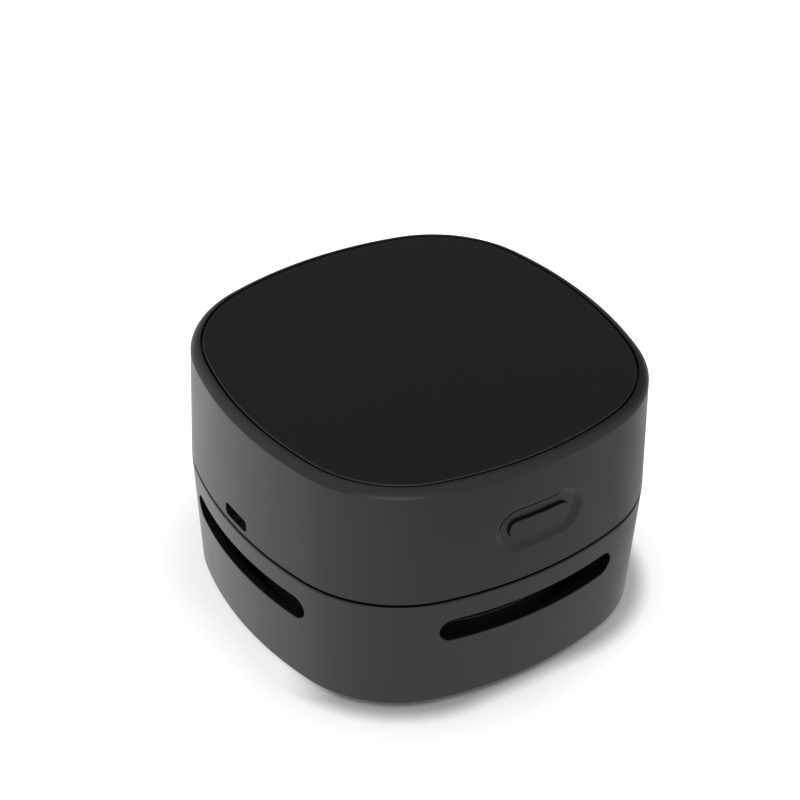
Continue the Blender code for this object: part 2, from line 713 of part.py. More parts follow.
def build_brush(bench):
    """Ring under the floor, its four bristle strips and its four screws."""
    half = BRISTLE_WIDTH / 2
    groove = half + SEAT_GAP
    groove_top = BRUSH_RING_BOTTOM_Z + BRISTLE_GROOVE
    profile = [
        (BRUSH_RING_INNER, BRUSH_RING_TOP_Z), (BRUSH_RING_OUTER, BRUSH_RING_TOP_Z),
        (BRUSH_RING_OUTER, BRUSH_RING_BOTTOM_Z), (BRISTLE_RADIUS + groove, BRUSH_RING_BOTTOM_Z),
        (BRISTLE_RADIUS + groove, groove_top), (BRISTLE_RADIUS - groove, groove_top),
        (BRISTLE_RADIUS - groove, BRUSH_RING_BOTTOM_Z), (BRUSH_RING_INNER, BRUSH_RING_BOTTOM_Z),
    ]
    ring = bench.piece("brush_ring", turned("brush_ring", profile), "inner_plastic")
    hole = rod("brush_screw_hole", SCREW_RADIUS + SEAT_GAP, BRUSH_RING_BOTTOM_Z - OVERRUN,
               BRUSH_RING_TOP_Z + OVERRUN)
    head_z = BRUSH_RING_BOTTOM_Z - SEAT_GAP
    shank = SHELL_FLOOR_TOP_Z - head_z - FIT_GAP
    for number, bearing in enumerate(DIAGONALS_DEG, 1):
        place = polar(BRISTLE_RADIUS, bearing)
        cut(ring, bench.cutter(f"brush_screw_hole_{number}", hole, place))
        name = f"brush_screw_{number}"
        seat = polar(BRISTLE_RADIUS, bearing, head_z)
        mesh = screw(name, SCREW_HEAD_RADIUS, SCREW_HEAD_THICK, shank)
        fastener = bench.piece(name, mesh, "steel", seat)
        cut_screw_slot(bench, fastener, SCREW_HEAD_RADIUS, SCREW_HEAD_THICK, seat)
    for number, side in enumerate(("right", "back", "left", "front")):
        name = "bristles_" + side
        band = arc_band(BRISTLE_RADIUS - half, BRISTLE_RADIUS + half, number * 90.0,
                        BRISTLE_ARC_DEG, CORNER_STEPS)
        mesh = plates(name, [band], BRISTLE_STAND, groove_top - SEAT_GAP)
        bench.piece(name, mesh, "bristle")


def build_dust_cup(bench):
    """Round cup with the suction inlet standing in its middle, and its seal."""
    inlet_outer = INLET_BORE_RADIUS + INLET_WALL
    cup_inner = CUP_RADIUS - CUP_WALL
    floor = CUP_BOTTOM_Z + CUP_FLOOR
    profile = [
        (cup_inner, CUP_RIM_Z), (CUP_RADIUS, CUP_RIM_Z), (CUP_RADIUS, CUP_BOTTOM_Z),
        (INLET_BORE_RADIUS, CUP_BOTTOM_Z), (INLET_BORE_RADIUS, INLET_TOP_Z),
        (inlet_outer, INLET_TOP_Z), (inlet_outer, floor), (cup_inner, floor),
    ]
    bench.piece("dust_cup", turned("dust_cup", profile), "cup_plastic")
    seal = ring_profile(CUP_RADIUS - SEAL_WIDTH, CUP_RADIUS, SEAL_BOTTOM_Z, SEAL_TOP_Z)
    bench.piece("cup_seal", turned("cup_seal", seal), "rubber")


def build_filter(bench):
    """Ring frame with crossed ribs over a disc of filter cloth."""
    inner = CUP_RADIUS - FILTER_FRAME_WIDTH
    ring = ring_profile(inner, CUP_RADIUS, FILTER_BOTTOM_Z, FILTER_TOP_Z)
    frame = bench.piece("filter_frame", turned("filter_frame", ring), "inner_plastic")
    reach = inner + FILTER_FRAME_WIDTH / 2
    rib = block("filter_rib", (-reach, -FILTER_RIB_WIDTH / 2, FILTER_TOP_Z - FILTER_RIB_THICK),
                (reach, FILTER_RIB_WIDTH / 2, FILTER_TOP_Z))
    for number, bearing in enumerate((0.0, 90.0), 1):
        turn = (0.0, 0.0, math.radians(bearing))
        join(frame, bench.cutter(f"filter_rib_{number}", rib, turn=turn))
    cloth_top = FILTER_TOP_Z - FILTER_RIB_THICK - SEAT_GAP
    cloth = rod("filter_cloth", inner - SEAT_GAP, FILTER_BOTTOM_Z, cloth_top, TURN_STEPS)
    bench.piece("filter_cloth", cloth, "filter_cloth")


def build_upper_shell(bench, unit):
    """Motor unit's outer shell with its rim, panel recess, dish, port and bosses."""
    profile = [
        (upper_draft(WEB_UNDER_Z - UPPER_BOTTOM_Z) + WALL, WEB_UNDER_Z),
        (WALL, UPPER_BOTTOM_Z),
        (0.0, UPPER_BOTTOM_Z),
    ]
    half = math.radians(RIM_BEND_DEG) / 2
    bend = math.hypot(RIM_HEIGHT, RIM_WIDTH) / (2 * math.sin(half))
    steep = math.atan2(RIM_HEIGHT, RIM_WIDTH) + half
    for step in range(RIM_STEPS + 1):
        slope = steep - 2 * half * step / RIM_STEPS
        profile.append((UPPER_DRAFT + bend * (math.sin(steep) - math.sin(slope)),
                        CREASE_Z + bend * (math.cos(slope) - math.cos(steep))))
    profile.append((PANEL_RECESS_INSET, RECESS_Z))
    mesh = outline_solid("upper_shell", profile)
    shell = bench.piece("upper_shell", mesh, "shell_plastic", carrier=unit)

    boss_bottom = TRAY_TOP_Z + SEAT_GAP
    boss = rod("boss", BOSS_RADIUS, boss_bottom, WEB_UNDER_Z + WEB_THICK / 2)
    pilot = rod("boss_pilot", SCREW_RADIUS + FIT_GAP, boss_bottom - OVERRUN,
                boss_bottom + SCREW_BITE)
    for number, bearing in enumerate(DIAGONALS_DEG, 1):
        place = polar(diagonal_place(BOSS_INSET), bearing)
        join(shell, bench.cutter(f"boss_{number}", boss, place))
        cut(shell, bench.cutter(f"boss_pilot_{number}", pilot, place))

    place, turn = facing_front(0.0)
    dish_mesh = plates("dish", [stadium(DISH_LENGTH, DISH_HEIGHT)],
                       HALF_WIDTH - DISH_LENGTH / 2, HALF_WIDTH + OVERRUN)
    dish = bench.cutter("dish", dish_mesh, (0.0, 0.0, BUTTON_Z), turn)
    core = outline_solid("dish_core", [(DISH_DEPTH, UPPER_BOTTOM_Z),
                                       (DISH_DEPTH + UPPER_DRAFT, CREASE_Z)])
    cut(dish, bench.cutter("dish_core", core))
    cut(shell, dish)
    hole = plates("button_hole", [stadium(BUTTON_LENGTH + 2 * BUTTON_GAP,
                                          BUTTON_HEIGHT + 2 * BUTTON_GAP)],
                  HALF_WIDTH - DISH_LENGTH / 2, HALF_WIDTH + OVERRUN)
    cut(shell, bench.cutter("button_hole", hole, (0.0, 0.0, BUTTON_Z), turn))

    port = plates("port_hole", [rounded_box(PORT_WIDTH, PORT_HEIGHT, PORT_CORNER)],
                  HALF_WIDTH - DISH_LENGTH / 2, HALF_WIDTH + OVERRUN)
    port_turn = (math.pi / 2, 0.0, -math.pi / 2)
    cut(shell, bench.cutter("port_hole", port, (0.0, 0.0, PORT_Z), port_turn))


def build_top_panel(bench, unit):
    """Flat panel that lies flush in the rim."""
    inset = PANEL_RECESS_INSET + PANEL_GAP
    mesh = outline_solid("top_panel", [(inset, PANEL_BOTTOM_Z), (inset, TOP_Z)])
    bench.piece("top_panel", mesh, "panel_plastic", carrier=unit)


def build_tray(bench, unit):
    """Tray that closes the motor unit and plugs into the bin."""
    profile = [(TRAY_INSET, TRAY_BOTTOM_Z), (TRAY_INSET, TRAY_RIM_Z),
               (TRAY_INNER_INSET, TRAY_RIM_Z), (TRAY_INNER_INSET, TRAY_TOP_Z)]
    mesh = outline_solid("inner_tray", profile)
    tray = bench.piece("inner_tray", mesh, "inner_plastic", carrier=unit)

    post_top = CHARGE_BOARD_Z - SEAT_GAP
    post = rod("board_post", BOARD_POST_RADIUS, TRAY_BOTTOM_Z + TRAY_FLOOR / 2, post_top)
    pilot = rod("board_pilot", SCREW_RADIUS + FIT_GAP, TRAY_TOP_Z, post_top + OVERRUN)
    for number, place in enumerate(board_screw_places(), 1):
        join(tray, bench.cutter(f"board_post_{number}", post, place))
        cut(tray, bench.cutter(f"board_pilot_{number}", pilot, place))

    guide_y = SWITCH_BOARD_BACK_Y + SEAT_GAP
    for number, side in enumerate((-1, 1), 1):
        middle = side * (SWITCH_BOARD_WIDTH / 2 - GUIDE_WIDTH)
        low = (middle - GUIDE_WIDTH / 2, guide_y, TRAY_BOTTOM_Z + TRAY_FLOOR / 2)
        high = (middle + GUIDE_WIDTH / 2, guide_y + GUIDE_DEPTH, TRAY_TOP_Z + GUIDE_HEIGHT)
        name = f"board_guide_{number}"
        join(tray, bench.cutter(name, block(name, low, high)))

    notch_half = SOCKET_WIDTH / 2 + WALL
    notch = block("port_notch", (-HALF_WIDTH, -notch_half, CHARGE_BOARD_TOP_Z - SEAT_GAP),
                  (CHARGE_BOARD_X, notch_half, TRAY_RIM_Z + OVERRUN))
    cut(tray, bench.cutter("port_notch", notch))
    through_low, through_high = TRAY_BOTTOM_Z - OVERRUN, TRAY_TOP_Z + OVERRUN
    centre = rod("motor_hole", CAN_BOSS_RADIUS + SEAT_GAP, through_low, through_high, TURN_STEPS)
    cut(tray, bench.cutter("motor_hole", centre))
    hole = rod("tray_hole", SCREW_RADIUS + SEAT_GAP, through_low, through_high)
    sink = rod("motor_screw_sink", SCREW_HEAD_RADIUS + SEAT_GAP, through_low,
               TRAY_BOTTOM_Z + FIT_GAP + MOTOR_SCREW_HEAD_THICK + SEAT_GAP)
    for number, side in enumerate((-1, 1), 1):
        place = (side * MOTOR_SCREW_OFFSET, 0.0, 0.0)
        cut(tray, bench.cutter(f"motor_screw_hole_{number}", hole, place))
        cut(tray, bench.cutter(f"motor_screw_sink_{number}", sink, place))
    boss_room = rod("boss_room", BOSS_RADIUS + SEAT_GAP, TRAY_TOP_Z, TRAY_RIM_Z + OVERRUN)
    for number, bearing in enumerate(DIAGONALS_DEG, 1):
        place = polar(diagonal_place(BOSS_INSET), bearing)
        cut(tray, bench.cutter(f"tray_screw_hole_{number}", hole, place))
        cut(tray, bench.cutter(f"boss_room_{number}", boss_room, place))


def build_tray_screws(bench, unit):
    """Four screws through the tray into the shell's bosses."""
    head_z = TRAY_BOTTOM_Z - SEAT_GAP
    shank = TRAY_FLOOR + SEAT_GAP + SCREW_BITE
    for number, bearing in enumerate(DIAGONALS_DEG, 1):
        name = f"tray_screw_{number}"
        place = polar(diagonal_place(BOSS_INSET), bearing, head_z)
        mesh = screw(name, SCREW_HEAD_RADIUS, SCREW_HEAD_THICK, shank)
        fastener = bench.piece(name, mesh, "steel", place, carrier=unit)
        cut_screw_slot(bench, fastener, SCREW_HEAD_RADIUS, SCREW_HEAD_THICK, place)


def build_fan_housing(bench, unit):
    """Plate with the fan's inlet, hung under the tray on four posts."""
    ring = ring_profile(HOUSING_INLET_RADIUS, HOUSING_RADIUS, HOUSING_BOTTOM_Z, HOUSING_TOP_Z)
    housing = bench.piece("fan_housing", turned("fan_housing", ring), "inner_plastic",
                          carrier=unit)
    post = rod("housing_post", HOUSING_POST_RADIUS, HOUSING_BOTTOM_Z + HOUSING_THICK / 2,
               TRAY_BOTTOM_Z - SEAT_GAP)
    for number, bearing in enumerate(DIAGONALS_DEG, 1):
        tool = bench.cutter(f"housing_post_{number}", post, polar(HOUSING_POST_PLACE, bearing))
        join(housing, tool)


def blade_outline(start_deg):
    """Outline of one backward-curved fan blade seen from above."""
    spine = []
    outer = IMPELLER_RADIUS - BLADE_THICK
    for step in range(BLADE_STEPS + 1):
        share = step / BLADE_STEPS
        radius = BLADE_INNER_RADIUS + (outer - BLADE_INNER_RADIUS) * share
        spine.append(Vector(polar(radius, start_deg - BLADE_SWEEP_DEG * share)[:2]))
    near, far = [], []
    for index, point in enumerate(spine):
        ahead = spine[min(index + 1, BLADE_STEPS)] - spine[max(index - 1, 0)]
        across = Vector((-ahead.y, ahead.x)).normalized() * BLADE_THICK / 2
        near.append(point + across)
        far.append(point - across)
    return near + far[::-1]


def build_rotor(bench, axis):
    """What the motor turns: shaft, armature, commutator and fan wheel."""
    bore = SHAFT_RADIUS + FIT_GAP
    bore_floor = BACKPLATE_BOTTOM_Z - HUB_NOSE
    nose_z = BLADE_BOTTOM_Z
    profile = [
        (0.0, bore_floor), (bore, bore_floor), (bore, IMPELLER_TOP_Z),
        (IMPELLER_RADIUS, IMPELLER_TOP_Z), (IMPELLER_RADIUS, BACKPLATE_BOTTOM_Z),
        (HUB_RADIUS, BACKPLATE_BOTTOM_Z), (HUB_NOSE_RADIUS, nose_z), (0.0, nose_z),
    ]
    wheel = bench.piece("impeller", turned("impeller", profile, closed=False), "fan_plastic",
                        carrier=axis)
    outlines = [blade_outline(360.0 * number / BLADE_COUNT) for number in range(BLADE_COUNT)]
    blades = plates("fan_blades", outlines, BLADE_BOTTOM_Z,
                    BACKPLATE_BOTTOM_Z + BACKPLATE_THICK / 2)
    join(wheel, bench.cutter("fan_blades", blades))

    bush_top = END_CAP_TOP_Z - WALL / 2
    shaft_bottom = bore_floor + SEAT_GAP
    shaft = rod("motor_shaft", SHAFT_RADIUS, shaft_bottom, bush_top - SEAT_GAP)
    bench.piece("motor_shaft", shaft, "steel", carrier=axis)

    low = MOTOR_Z + CAN_WALL + BUSH_LENGTH
    high = low + MAGNET_LENGTH - BUSH_LENGTH
    core = turned("motor_armature", ring_profile(bore, ARMATURE_RADIUS, low, high))
    armature = bench.piece("motor_armature", core, "winding", carrier=axis)
    slot = block("armature_slot", (ARMATURE_RADIUS - ARMATURE_SLOT_DEPTH, -ARMATURE_SLOT / 2,
                                   low - OVERRUN),
                 (ARMATURE_RADIUS + OVERRUN, ARMATURE_SLOT / 2, high + OVERRUN))
    for number in range(POLE_COUNT):
        turn = (0.0, 0.0, 2 * math.pi * number / POLE_COUNT)
        cut(armature, bench.cutter(f"armature_slot_{number + 1}", slot, turn=turn))
    ring = ring_profile(bore, COMMUTATOR_RADIUS, high + SEAT_GAP, high + COMMUTATOR_LENGTH)
    mesh = turned("motor_commutator", ring, steps=SMALL_STEPS)
    bench.piece("motor_commutator", mesh, "brass", carrier=axis)


def build_motor(bench, unit):
    """Still pieces of the motor: can, end cap, magnets, bushes, tabs and screws."""
    seat = BUSH_RADIUS + FIT_GAP
    boss_z = MOTOR_Z - CAN_BOSS_HEIGHT
    profile = [
        (CAN_INNER_RADIUS, CAN_TOP_Z), (CAN_RADIUS, CAN_TOP_Z), (CAN_RADIUS, MOTOR_Z),
        (CAN_BOSS_RADIUS, MOTOR_Z), (CAN_BOSS_RADIUS, boss_z), (seat, boss_z),
        (seat, MOTOR_Z + CAN_WALL), (CAN_INNER_RADIUS, MOTOR_Z + CAN_WALL),
    ]
    can = bench.piece("motor_can", turned("motor_can", profile), "steel", carrier=unit)
    head_z = TRAY_BOTTOM_Z + FIT_GAP + MOTOR_SCREW_HEAD_THICK
    shank = MOTOR_Z + CAN_WALL - head_z + SEAT_GAP
    hole = rod("can_hole", SCREW_RADIUS + FIT_GAP, MOTOR_Z - OVERRUN,
               MOTOR_Z + CAN_WALL + OVERRUN)
    for number, side in enumerate((-1, 1), 1):
        place = (side * MOTOR_SCREW_OFFSET, 0.0, 0.0)
        cut(can, bench.cutter(f"can_hole_{number}", hole, place))
        name = f"motor_screw_{number}"
        head = (side * MOTOR_SCREW_OFFSET, 0.0, head_z)
        mesh = screw(name, SCREW_HEAD_RADIUS, MOTOR_SCREW_HEAD_THICK, shank)
        fastener = bench.piece(name, mesh, "steel", head, carrier=unit)
        cut_screw_slot(bench, fastener, SCREW_HEAD_RADIUS, MOTOR_SCREW_HEAD_THICK, head)

    flange_z = CAN_TOP_Z + SEAT_GAP
    plug_z = CAN_TOP_Z - END_CAP_PLUG
    plug_radius = CAN_INNER_RADIUS - SEAT_GAP
    bush_top = END_CAP_TOP_Z - WALL / 2
    profile = [
        (0.0, END_CAP_TOP_Z), (CAN_RADIUS - SEAT_GAP, END_CAP_TOP_Z),
        (CAN_RADIUS - SEAT_GAP, flange_z), (plug_radius, flange_z), (plug_radius, plug_z),
        (seat, plug_z), (seat, bush_top), (0.0, bush_top),
    ]
    cap_mesh = turned("motor_end_cap", profile, closed=False)
    cap = bench.piece("motor_end_cap", cap_mesh, "fan_plastic", carrier=unit)
    bushes = {"lower": (boss_z, boss_z + BUSH_LENGTH),
              "upper": (plug_z, plug_z + BUSH_LENGTH)}
    for side, (low, high) in bushes.items():
        name = "motor_bush_" + side
        ring = ring_profile(SHAFT_RADIUS + FIT_GAP, BUSH_RADIUS, low, high)
        bench.piece(name, turned(name, ring, steps=SMALL_STEPS), "brass", carrier=unit)

    for number, side in enumerate((-1, 1), 1):
        middle = side * TERMINAL_OFFSET
        half_wide, half_thick = TERMINAL_WIDTH / 2, TERMINAL_THICK / 2
        low = (middle - half_thick, -half_wide, plug_z)
        high = (middle + half_thick, half_wide, TERMINAL_TOP_Z)
        name = f"motor_terminal_{number}"
        bench.piece(name, block(name, low, high), "brass", carrier=unit)
        room_low = (low[0] - SEAT_GAP, low[1] - SEAT_GAP, plug_z - OVERRUN)
        room_high = (high[0] + SEAT_GAP, high[1] + SEAT_GAP, END_CAP_TOP_Z + OVERRUN)
        room = f"terminal_room_{number}"
        cut(cap, bench.cutter(room, block(room, room_low, room_high)))

        name = f"motor_magnet_{number}"
        band = arc_band(MAGNET_INNER_RADIUS, MAGNET_OUTER_RADIUS, side * 90.0,
                        MAGNET_ARC_DEG, CORNER_STEPS + SIDE_STEPS)
        low_z = MOTOR_Z + CAN_WALL + SEAT_GAP + SEAT_GAP
        mesh = plates(name, [band], low_z, low_z + MAGNET_LENGTH)
        bench.piece(name, mesh, "magnet", carrier=unit)


def build_cell(bench, unit):
    """Rechargeable cell lying across the back, and the holder it lies in."""
    half = CELL_LENGTH / 2
    profile = [
        (0.0, half), (CELL_NUB_RADIUS, half), (CELL_NUB_RADIUS, half - CELL_NUB_HEIGHT),
        (CELL_RADIUS, half - CELL_NUB_HEIGHT), (CELL_RADIUS, -half), (0.0, -half),
    ]
    across = (0.0, math.pi / 2, 0.0)
    place = (0.0, CELL_Y, CELL_Z)
    mesh = turned("battery_cell", profile, closed=False, steps=TURN_STEPS // 2)
    bench.piece("battery_cell", mesh, "cell_sleeve", place, across, carrier=unit)

    room = CELL_RADIUS + SEAT_GAP
    low_z = TRAY_TOP_Z + SEAT_GAP
    low = (-HOLDER_REACH, CELL_Y - room - HOLDER_WALL / 2, low_z)
    high = (HOLDER_REACH, HOLDER_BACK_Y, CELL_Z)
    holder = bench.piece("battery_holder", block("battery_holder", low, high), "inner_plastic",
                         carrier=unit)
    bed = rod("cell_bed", room, -half - SEAT_GAP, half + SEAT_GAP, TURN_STEPS // 2)
    cut(holder, bench.cutter("cell_bed", bed, place, across))
    open_low = (-half - SEAT_GAP, CELL_Y - room, CELL_Z)
    open_high = (half + SEAT_GAP, CELL_Y + room, CELL_Z + OVERRUN)
    cut(holder, bench.cutter("cell_mouth", block("cell_mouth", open_low, open_high)))


def board_screw_places():
    """Where the two screws hold the charging board."""
    x = CHARGE_BOARD_INNER_X - BOARD_EDGE_MARGIN
    y = CHARGE_BOARD_WIDTH / 2 - BOARD_EDGE_MARGIN
    return ((x, -y, 0.0), (x, y, 0.0))


def build_charge_board(bench, unit):
    """Charging board with its socket, chip, lamp and screws."""
    half = CHARGE_BOARD_WIDTH / 2
    mesh = block("charge_board", (CHARGE_BOARD_X, -half, CHARGE_BOARD_Z),
                 (CHARGE_BOARD_INNER_X, half, CHARGE_BOARD_TOP_Z))
    board = bench.piece("charge_board", mesh, "board", carrier=unit)
    hole = rod("board_hole", SCREW_RADIUS + SEAT_GAP, CHARGE_BOARD_Z - OVERRUN,
               CHARGE_BOARD_TOP_Z + OVERRUN)
    head_z = CHARGE_BOARD_TOP_Z + SEAT_GAP
    shank = head_z - TRAY_TOP_Z - SEAT_GAP
    for number, place in enumerate(board_screw_places(), 1):
        cut(board, bench.cutter(f"board_hole_{number}", hole, place))
        name = f"board_screw_{number}"
        mesh = screw(name, SCREW_HEAD_RADIUS, SCREW_HEAD_THICK, shank)
        seat = (place[0], place[1], head_z)
        fastener = bench.piece(name, mesh, "steel", seat, (math.pi, 0.0, 0.0), carrier=unit)
        low = (-SCREW_HEAD_RADIUS - OVERRUN, -SCREW_SLOT / 2, SCREW_HEAD_THICK - SCREW_SLOT_DEPTH)
        high = (SCREW_HEAD_RADIUS + OVERRUN, SCREW_SLOT / 2, SCREW_HEAD_THICK + OVERRUN)
        cut(fastener, bench.cutter(name + "_slot", block(name + "_slot", low, high), seat))

    facing_left = (math.pi / 2, 0.0, -math.pi / 2)
    place = (SOCKET_MOUTH_X, 0.0, PORT_Z)
    corner = SOCKET_HEIGHT / 2 - SOCKET_SHEET
    body = plates("usb_socket", [rounded_box(SOCKET_WIDTH, SOCKET_HEIGHT, corner)],
                  -SOCKET_DEPTH, 0.0)
    socket = bench.piece("usb_socket", body, "steel", place, facing_left, carrier=unit)
    mouth = plates("socket_mouth", [rounded_box(SOCKET_WIDTH - 2 * SOCKET_SHEET,
                                                SOCKET_HEIGHT - 2 * SOCKET_SHEET,
                                                corner - SOCKET_SHEET)],
                   -SOCKET_DEPTH + SOCKET_BACK, OVERRUN)
    cut(socket, bench.cutter("socket_mouth", mouth, place, facing_left))
    tongue_low = (SOCKET_MOUTH_X + SOCKET_SHEET, -TONGUE_WIDTH / 2, PORT_Z - TONGUE_THICK / 2)
    tongue_high = (SOCKET_MOUTH_X + SOCKET_DEPTH - SOCKET_BACK / 2, TONGUE_WIDTH / 2,
                   PORT_Z + TONGUE_THICK / 2)
    join(socket, bench.cutter("socket_tongue", block("socket_tongue", tongue_low, tongue_high)))

    top = CHARGE_BOARD_TOP_Z + SEAT_GAP
    chip_x = SOCKET_MOUTH_X + SOCKET_DEPTH + CHIP_LENGTH
    mesh = block("charge_chip", (chip_x - CHIP_LENGTH / 2, -CHIP_WIDTH / 2, top),
                 (chip_x + CHIP_LENGTH / 2, CHIP_WIDTH / 2, top + CHIP_HEIGHT))
    bench.piece("charge_chip", mesh, "chip", carrier=unit)
    lamp_y = SOCKET_WIDTH / 2 + LIGHT_LENGTH
    mesh = block("charge_lamp", (CHARGE_BOARD_X, lamp_y - LIGHT_LENGTH / 2, top),
                 (CHARGE_BOARD_X + LIGHT_WIDTH, lamp_y + LIGHT_LENGTH / 2, top + LIGHT_HEIGHT))
    bench.piece("charge_lamp", mesh, "lamp", carrier=unit)


def build_switch(bench, unit, plunger_axis):
    """Upright switch board, the switch on it and the plunger that it holds."""
    half = SWITCH_BOARD_WIDTH / 2
    mesh = block("switch_board", (-half, SWITCH_BOARD_Y, TRAY_TOP_Z + SEAT_GAP),
                 (half, SWITCH_BOARD_BACK_Y, BUTTON_Z + SWITCH_BOARD_ABOVE))
    bench.piece("switch_board", mesh, "board", carrier=unit)
    side = SWITCH_SIDE / 2
    mesh = block("switch_body", (-side, SWITCH_Y, BUTTON_Z - side),
                 (side, SWITCH_Y + SWITCH_DEPTH, BUTTON_Z + side))
    body = bench.piece("switch_body", mesh, "chip", carrier=unit)
    room = PLUNGER_SIDE / 2 + SEAT_GAP
    depth = PLUNGER_IN + PRESS_TRAVEL + SEAT_GAP
    hole = block("plunger_room", (-room, SWITCH_Y - OVERRUN, BUTTON_Z - room),
                 (room, SWITCH_Y + depth, BUTTON_Z + room))
    cut(body, bench.cutter("plunger_room", hole))
    reach = PLUNGER_SIDE / 2
    mesh = block("switch_plunger", (-reach, 0.0, -reach), (reach, PLUNGER_OUT + PLUNGER_IN, reach))
    bench.piece("switch_plunger", mesh, "fan_plastic", (0.0, PLUNGER_Y, BUTTON_Z),
                carrier=plunger_axis)


def build_button(bench, axis):
    """Stadium button with the flange and stem behind it."""
    turn = (math.pi / 2, 0.0, 0.0)
    place = (0.0, 0.0, BUTTON_Z)
    cap = plates("power_button", [stadium(BUTTON_LENGTH, BUTTON_HEIGHT)],
                 -FLANGE_Y - BUTTON_FLANGE_THICK / 2, HALF_WIDTH + OVERRUN)
    button = bench.piece("power_button", cap, "shell_plastic", place, turn, carrier=axis)
    core = outline_solid("button_core", [(BUTTON_SINK, UPPER_BOTTOM_Z),
                                         (BUTTON_SINK + UPPER_DRAFT, CREASE_Z)])
    apply_boolean(button, bench.cutter("button_core", core), "INTERSECT")
    flange = plates("button_flange", [stadium(2 * FLANGE_HALF,
                                              BUTTON_HEIGHT + 2 * BUTTON_FLANGE)],
                    -FLANGE_Y - BUTTON_FLANGE_THICK, -FLANGE_Y)
    join(button, bench.cutter("button_flange", flange, place, turn))
    stem = rod("button_stem", BUTTON_STEM_RADIUS, -STEM_END_Y, -FLANGE_Y - FIT_GAP)
    join(button, bench.cutter("button_stem", stem, place, turn))


def pad_place(x_share, y):
    """Point just above the charging board where a wire is soldered."""
    x = CHARGE_BOARD_X + CHARGE_BOARD_LENGTH * x_share
    return Vector((x, y, CHARGE_BOARD_TOP_Z + SEAT_GAP))


def build_wires(bench, unit):
    """Wires between the cell, the boards and the motor."""
    rise = Vector((0.0, 0.0, WIRE_RISE))
    room_z = (TERMINAL_TOP_Z + WEB_UNDER_Z) / 2
    tab_x = CELL_LENGTH / 2 - WIRE_RISE
    left_tab = Vector((-tab_x, CELL_Y, CELL_TOP_Z + SEAT_GAP))
    right_tab = Vector((tab_x, CELL_Y, CELL_TOP_Z + SEAT_GAP))
    pad_y = CHARGE_BOARD_WIDTH / 2 - BOARD_EDGE_MARGIN
    over_cell = CELL_TOP_Z + WIRE_RISE + 2 * WIRE_RADIUS

    plus_pad = pad_place(0.62, pad_y)
    marks = [left_tab, left_tab + rise, (-tab_x - WIRE_RISE, WIRE_LANE, over_cell),
             (plus_pad.x, (WIRE_LANE + pad_y) / 2, CELL_Z), plus_pad + rise, plus_pad]
    bench.piece("wire_cell_plus", wire("wire_cell_plus", marks), "wire_red", carrier=unit)

    minus_pad = pad_place(0.86, pad_y / 3)
    marks = [right_tab, right_tab + rise, (0.0, WIRE_LANE + WIRE_RISE, over_cell + WIRE_RISE),
             (-WIRE_LANE, CAN_RADIUS, over_cell), (minus_pad.x, minus_pad.y + WIRE_RISE, CELL_Z),
             minus_pad + rise, minus_pad]
    bench.piece("wire_cell_minus", wire("wire_cell_minus", marks), "wire_black", carrier=unit)

    top = TERMINAL_TOP_Z + SEAT_GAP
    left_terminal = Vector((-TERMINAL_OFFSET, 0.0, top))
    motor_pad = pad_place(0.86, -pad_y / 3)
    marks = [motor_pad, motor_pad + rise, (-WIRE_LANE - WIRE_RISE, motor_pad.y, CELL_TOP_Z),
             (-CAN_RADIUS, motor_pad.y / 2, room_z + WIRE_RADIUS),
             left_terminal + rise / 2, left_terminal]
    bench.piece("wire_motor_minus", wire("wire_motor_minus", marks), "wire_black", carrier=unit)

    right_terminal = Vector((TERMINAL_OFFSET, 0.0, top))
    back_y = SWITCH_BOARD_BACK_Y + SEAT_GAP
    solder_x = SWITCH_SIDE / 2
    solder_z = BUTTON_Z + SWITCH_SIDE / 2
    right_pad = Vector((solder_x, back_y, solder_z))
    inward = Vector((0.0, WIRE_RISE, 0.0))
    marks = [right_pad, right_pad + inward, (TERMINAL_OFFSET, -CAN_RADIUS, room_z),
             right_terminal + rise / 2, right_terminal]
    bench.piece("wire_motor_plus", wire("wire_motor_plus", marks), "wire_red", carrier=unit)

    left_pad = Vector((-solder_x, back_y, solder_z))
    switch_pad = pad_place(0.62, -pad_y)
    marks = [switch_pad, switch_pad + rise, (switch_pad.x, -WIRE_LANE, CELL_Z),
             (-WIRE_LANE, (back_y - WIRE_LANE) / 2, solder_z), left_pad + inward, left_pad]
    bench.piece("wire_switch", wire("wire_switch", marks), "wire_red", carrier=unit)


def main():
    """Build the bin, the motor unit and what moves in it."""
    clear_scene()
    bench = Bench()
    unit = bench.pivot("motor_unit_seat", (0.0, 0.0, UPPER_BOTTOM_Z))
    rotor = bench.pivot("rotor_axis", (0.0, 0.0, MOTOR_Z))
    button = bench.pivot("button_axis", (0.0, BUTTON_WALL_Y, BUTTON_Z))
    plunger = bench.pivot("plunger_axis", (0.0, PLUNGER_Y, BUTTON_Z))

    build_lower_shell(bench)
    build_feet(bench)
    build_brush(bench)
    build_dust_cup(bench)
    build_filter(bench)

    build_upper_shell(bench, unit)
    build_top_panel(bench, unit)
    build_tray(bench, unit)
    build_tray_screws(bench, unit)
    build_fan_housing(bench, unit)
    build_motor(bench, unit)
    build_cell(bench, unit)
    build_charge_board(bench, unit)
    build_switch(bench, unit, plunger)
    build_wires(bench, unit)

    build_rotor(bench, rotor)
    build_button(bench, button)


main()
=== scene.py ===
"""Finished look of a desktop mini vacuum cleaner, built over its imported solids."""

import json
import logging
import math
from collections.abc import Callable, Iterable, Sequence
from dataclasses import dataclass, field
from enum import Enum
from typing import Any

import bmesh
import bpy
from mathutils import Matrix, Vector

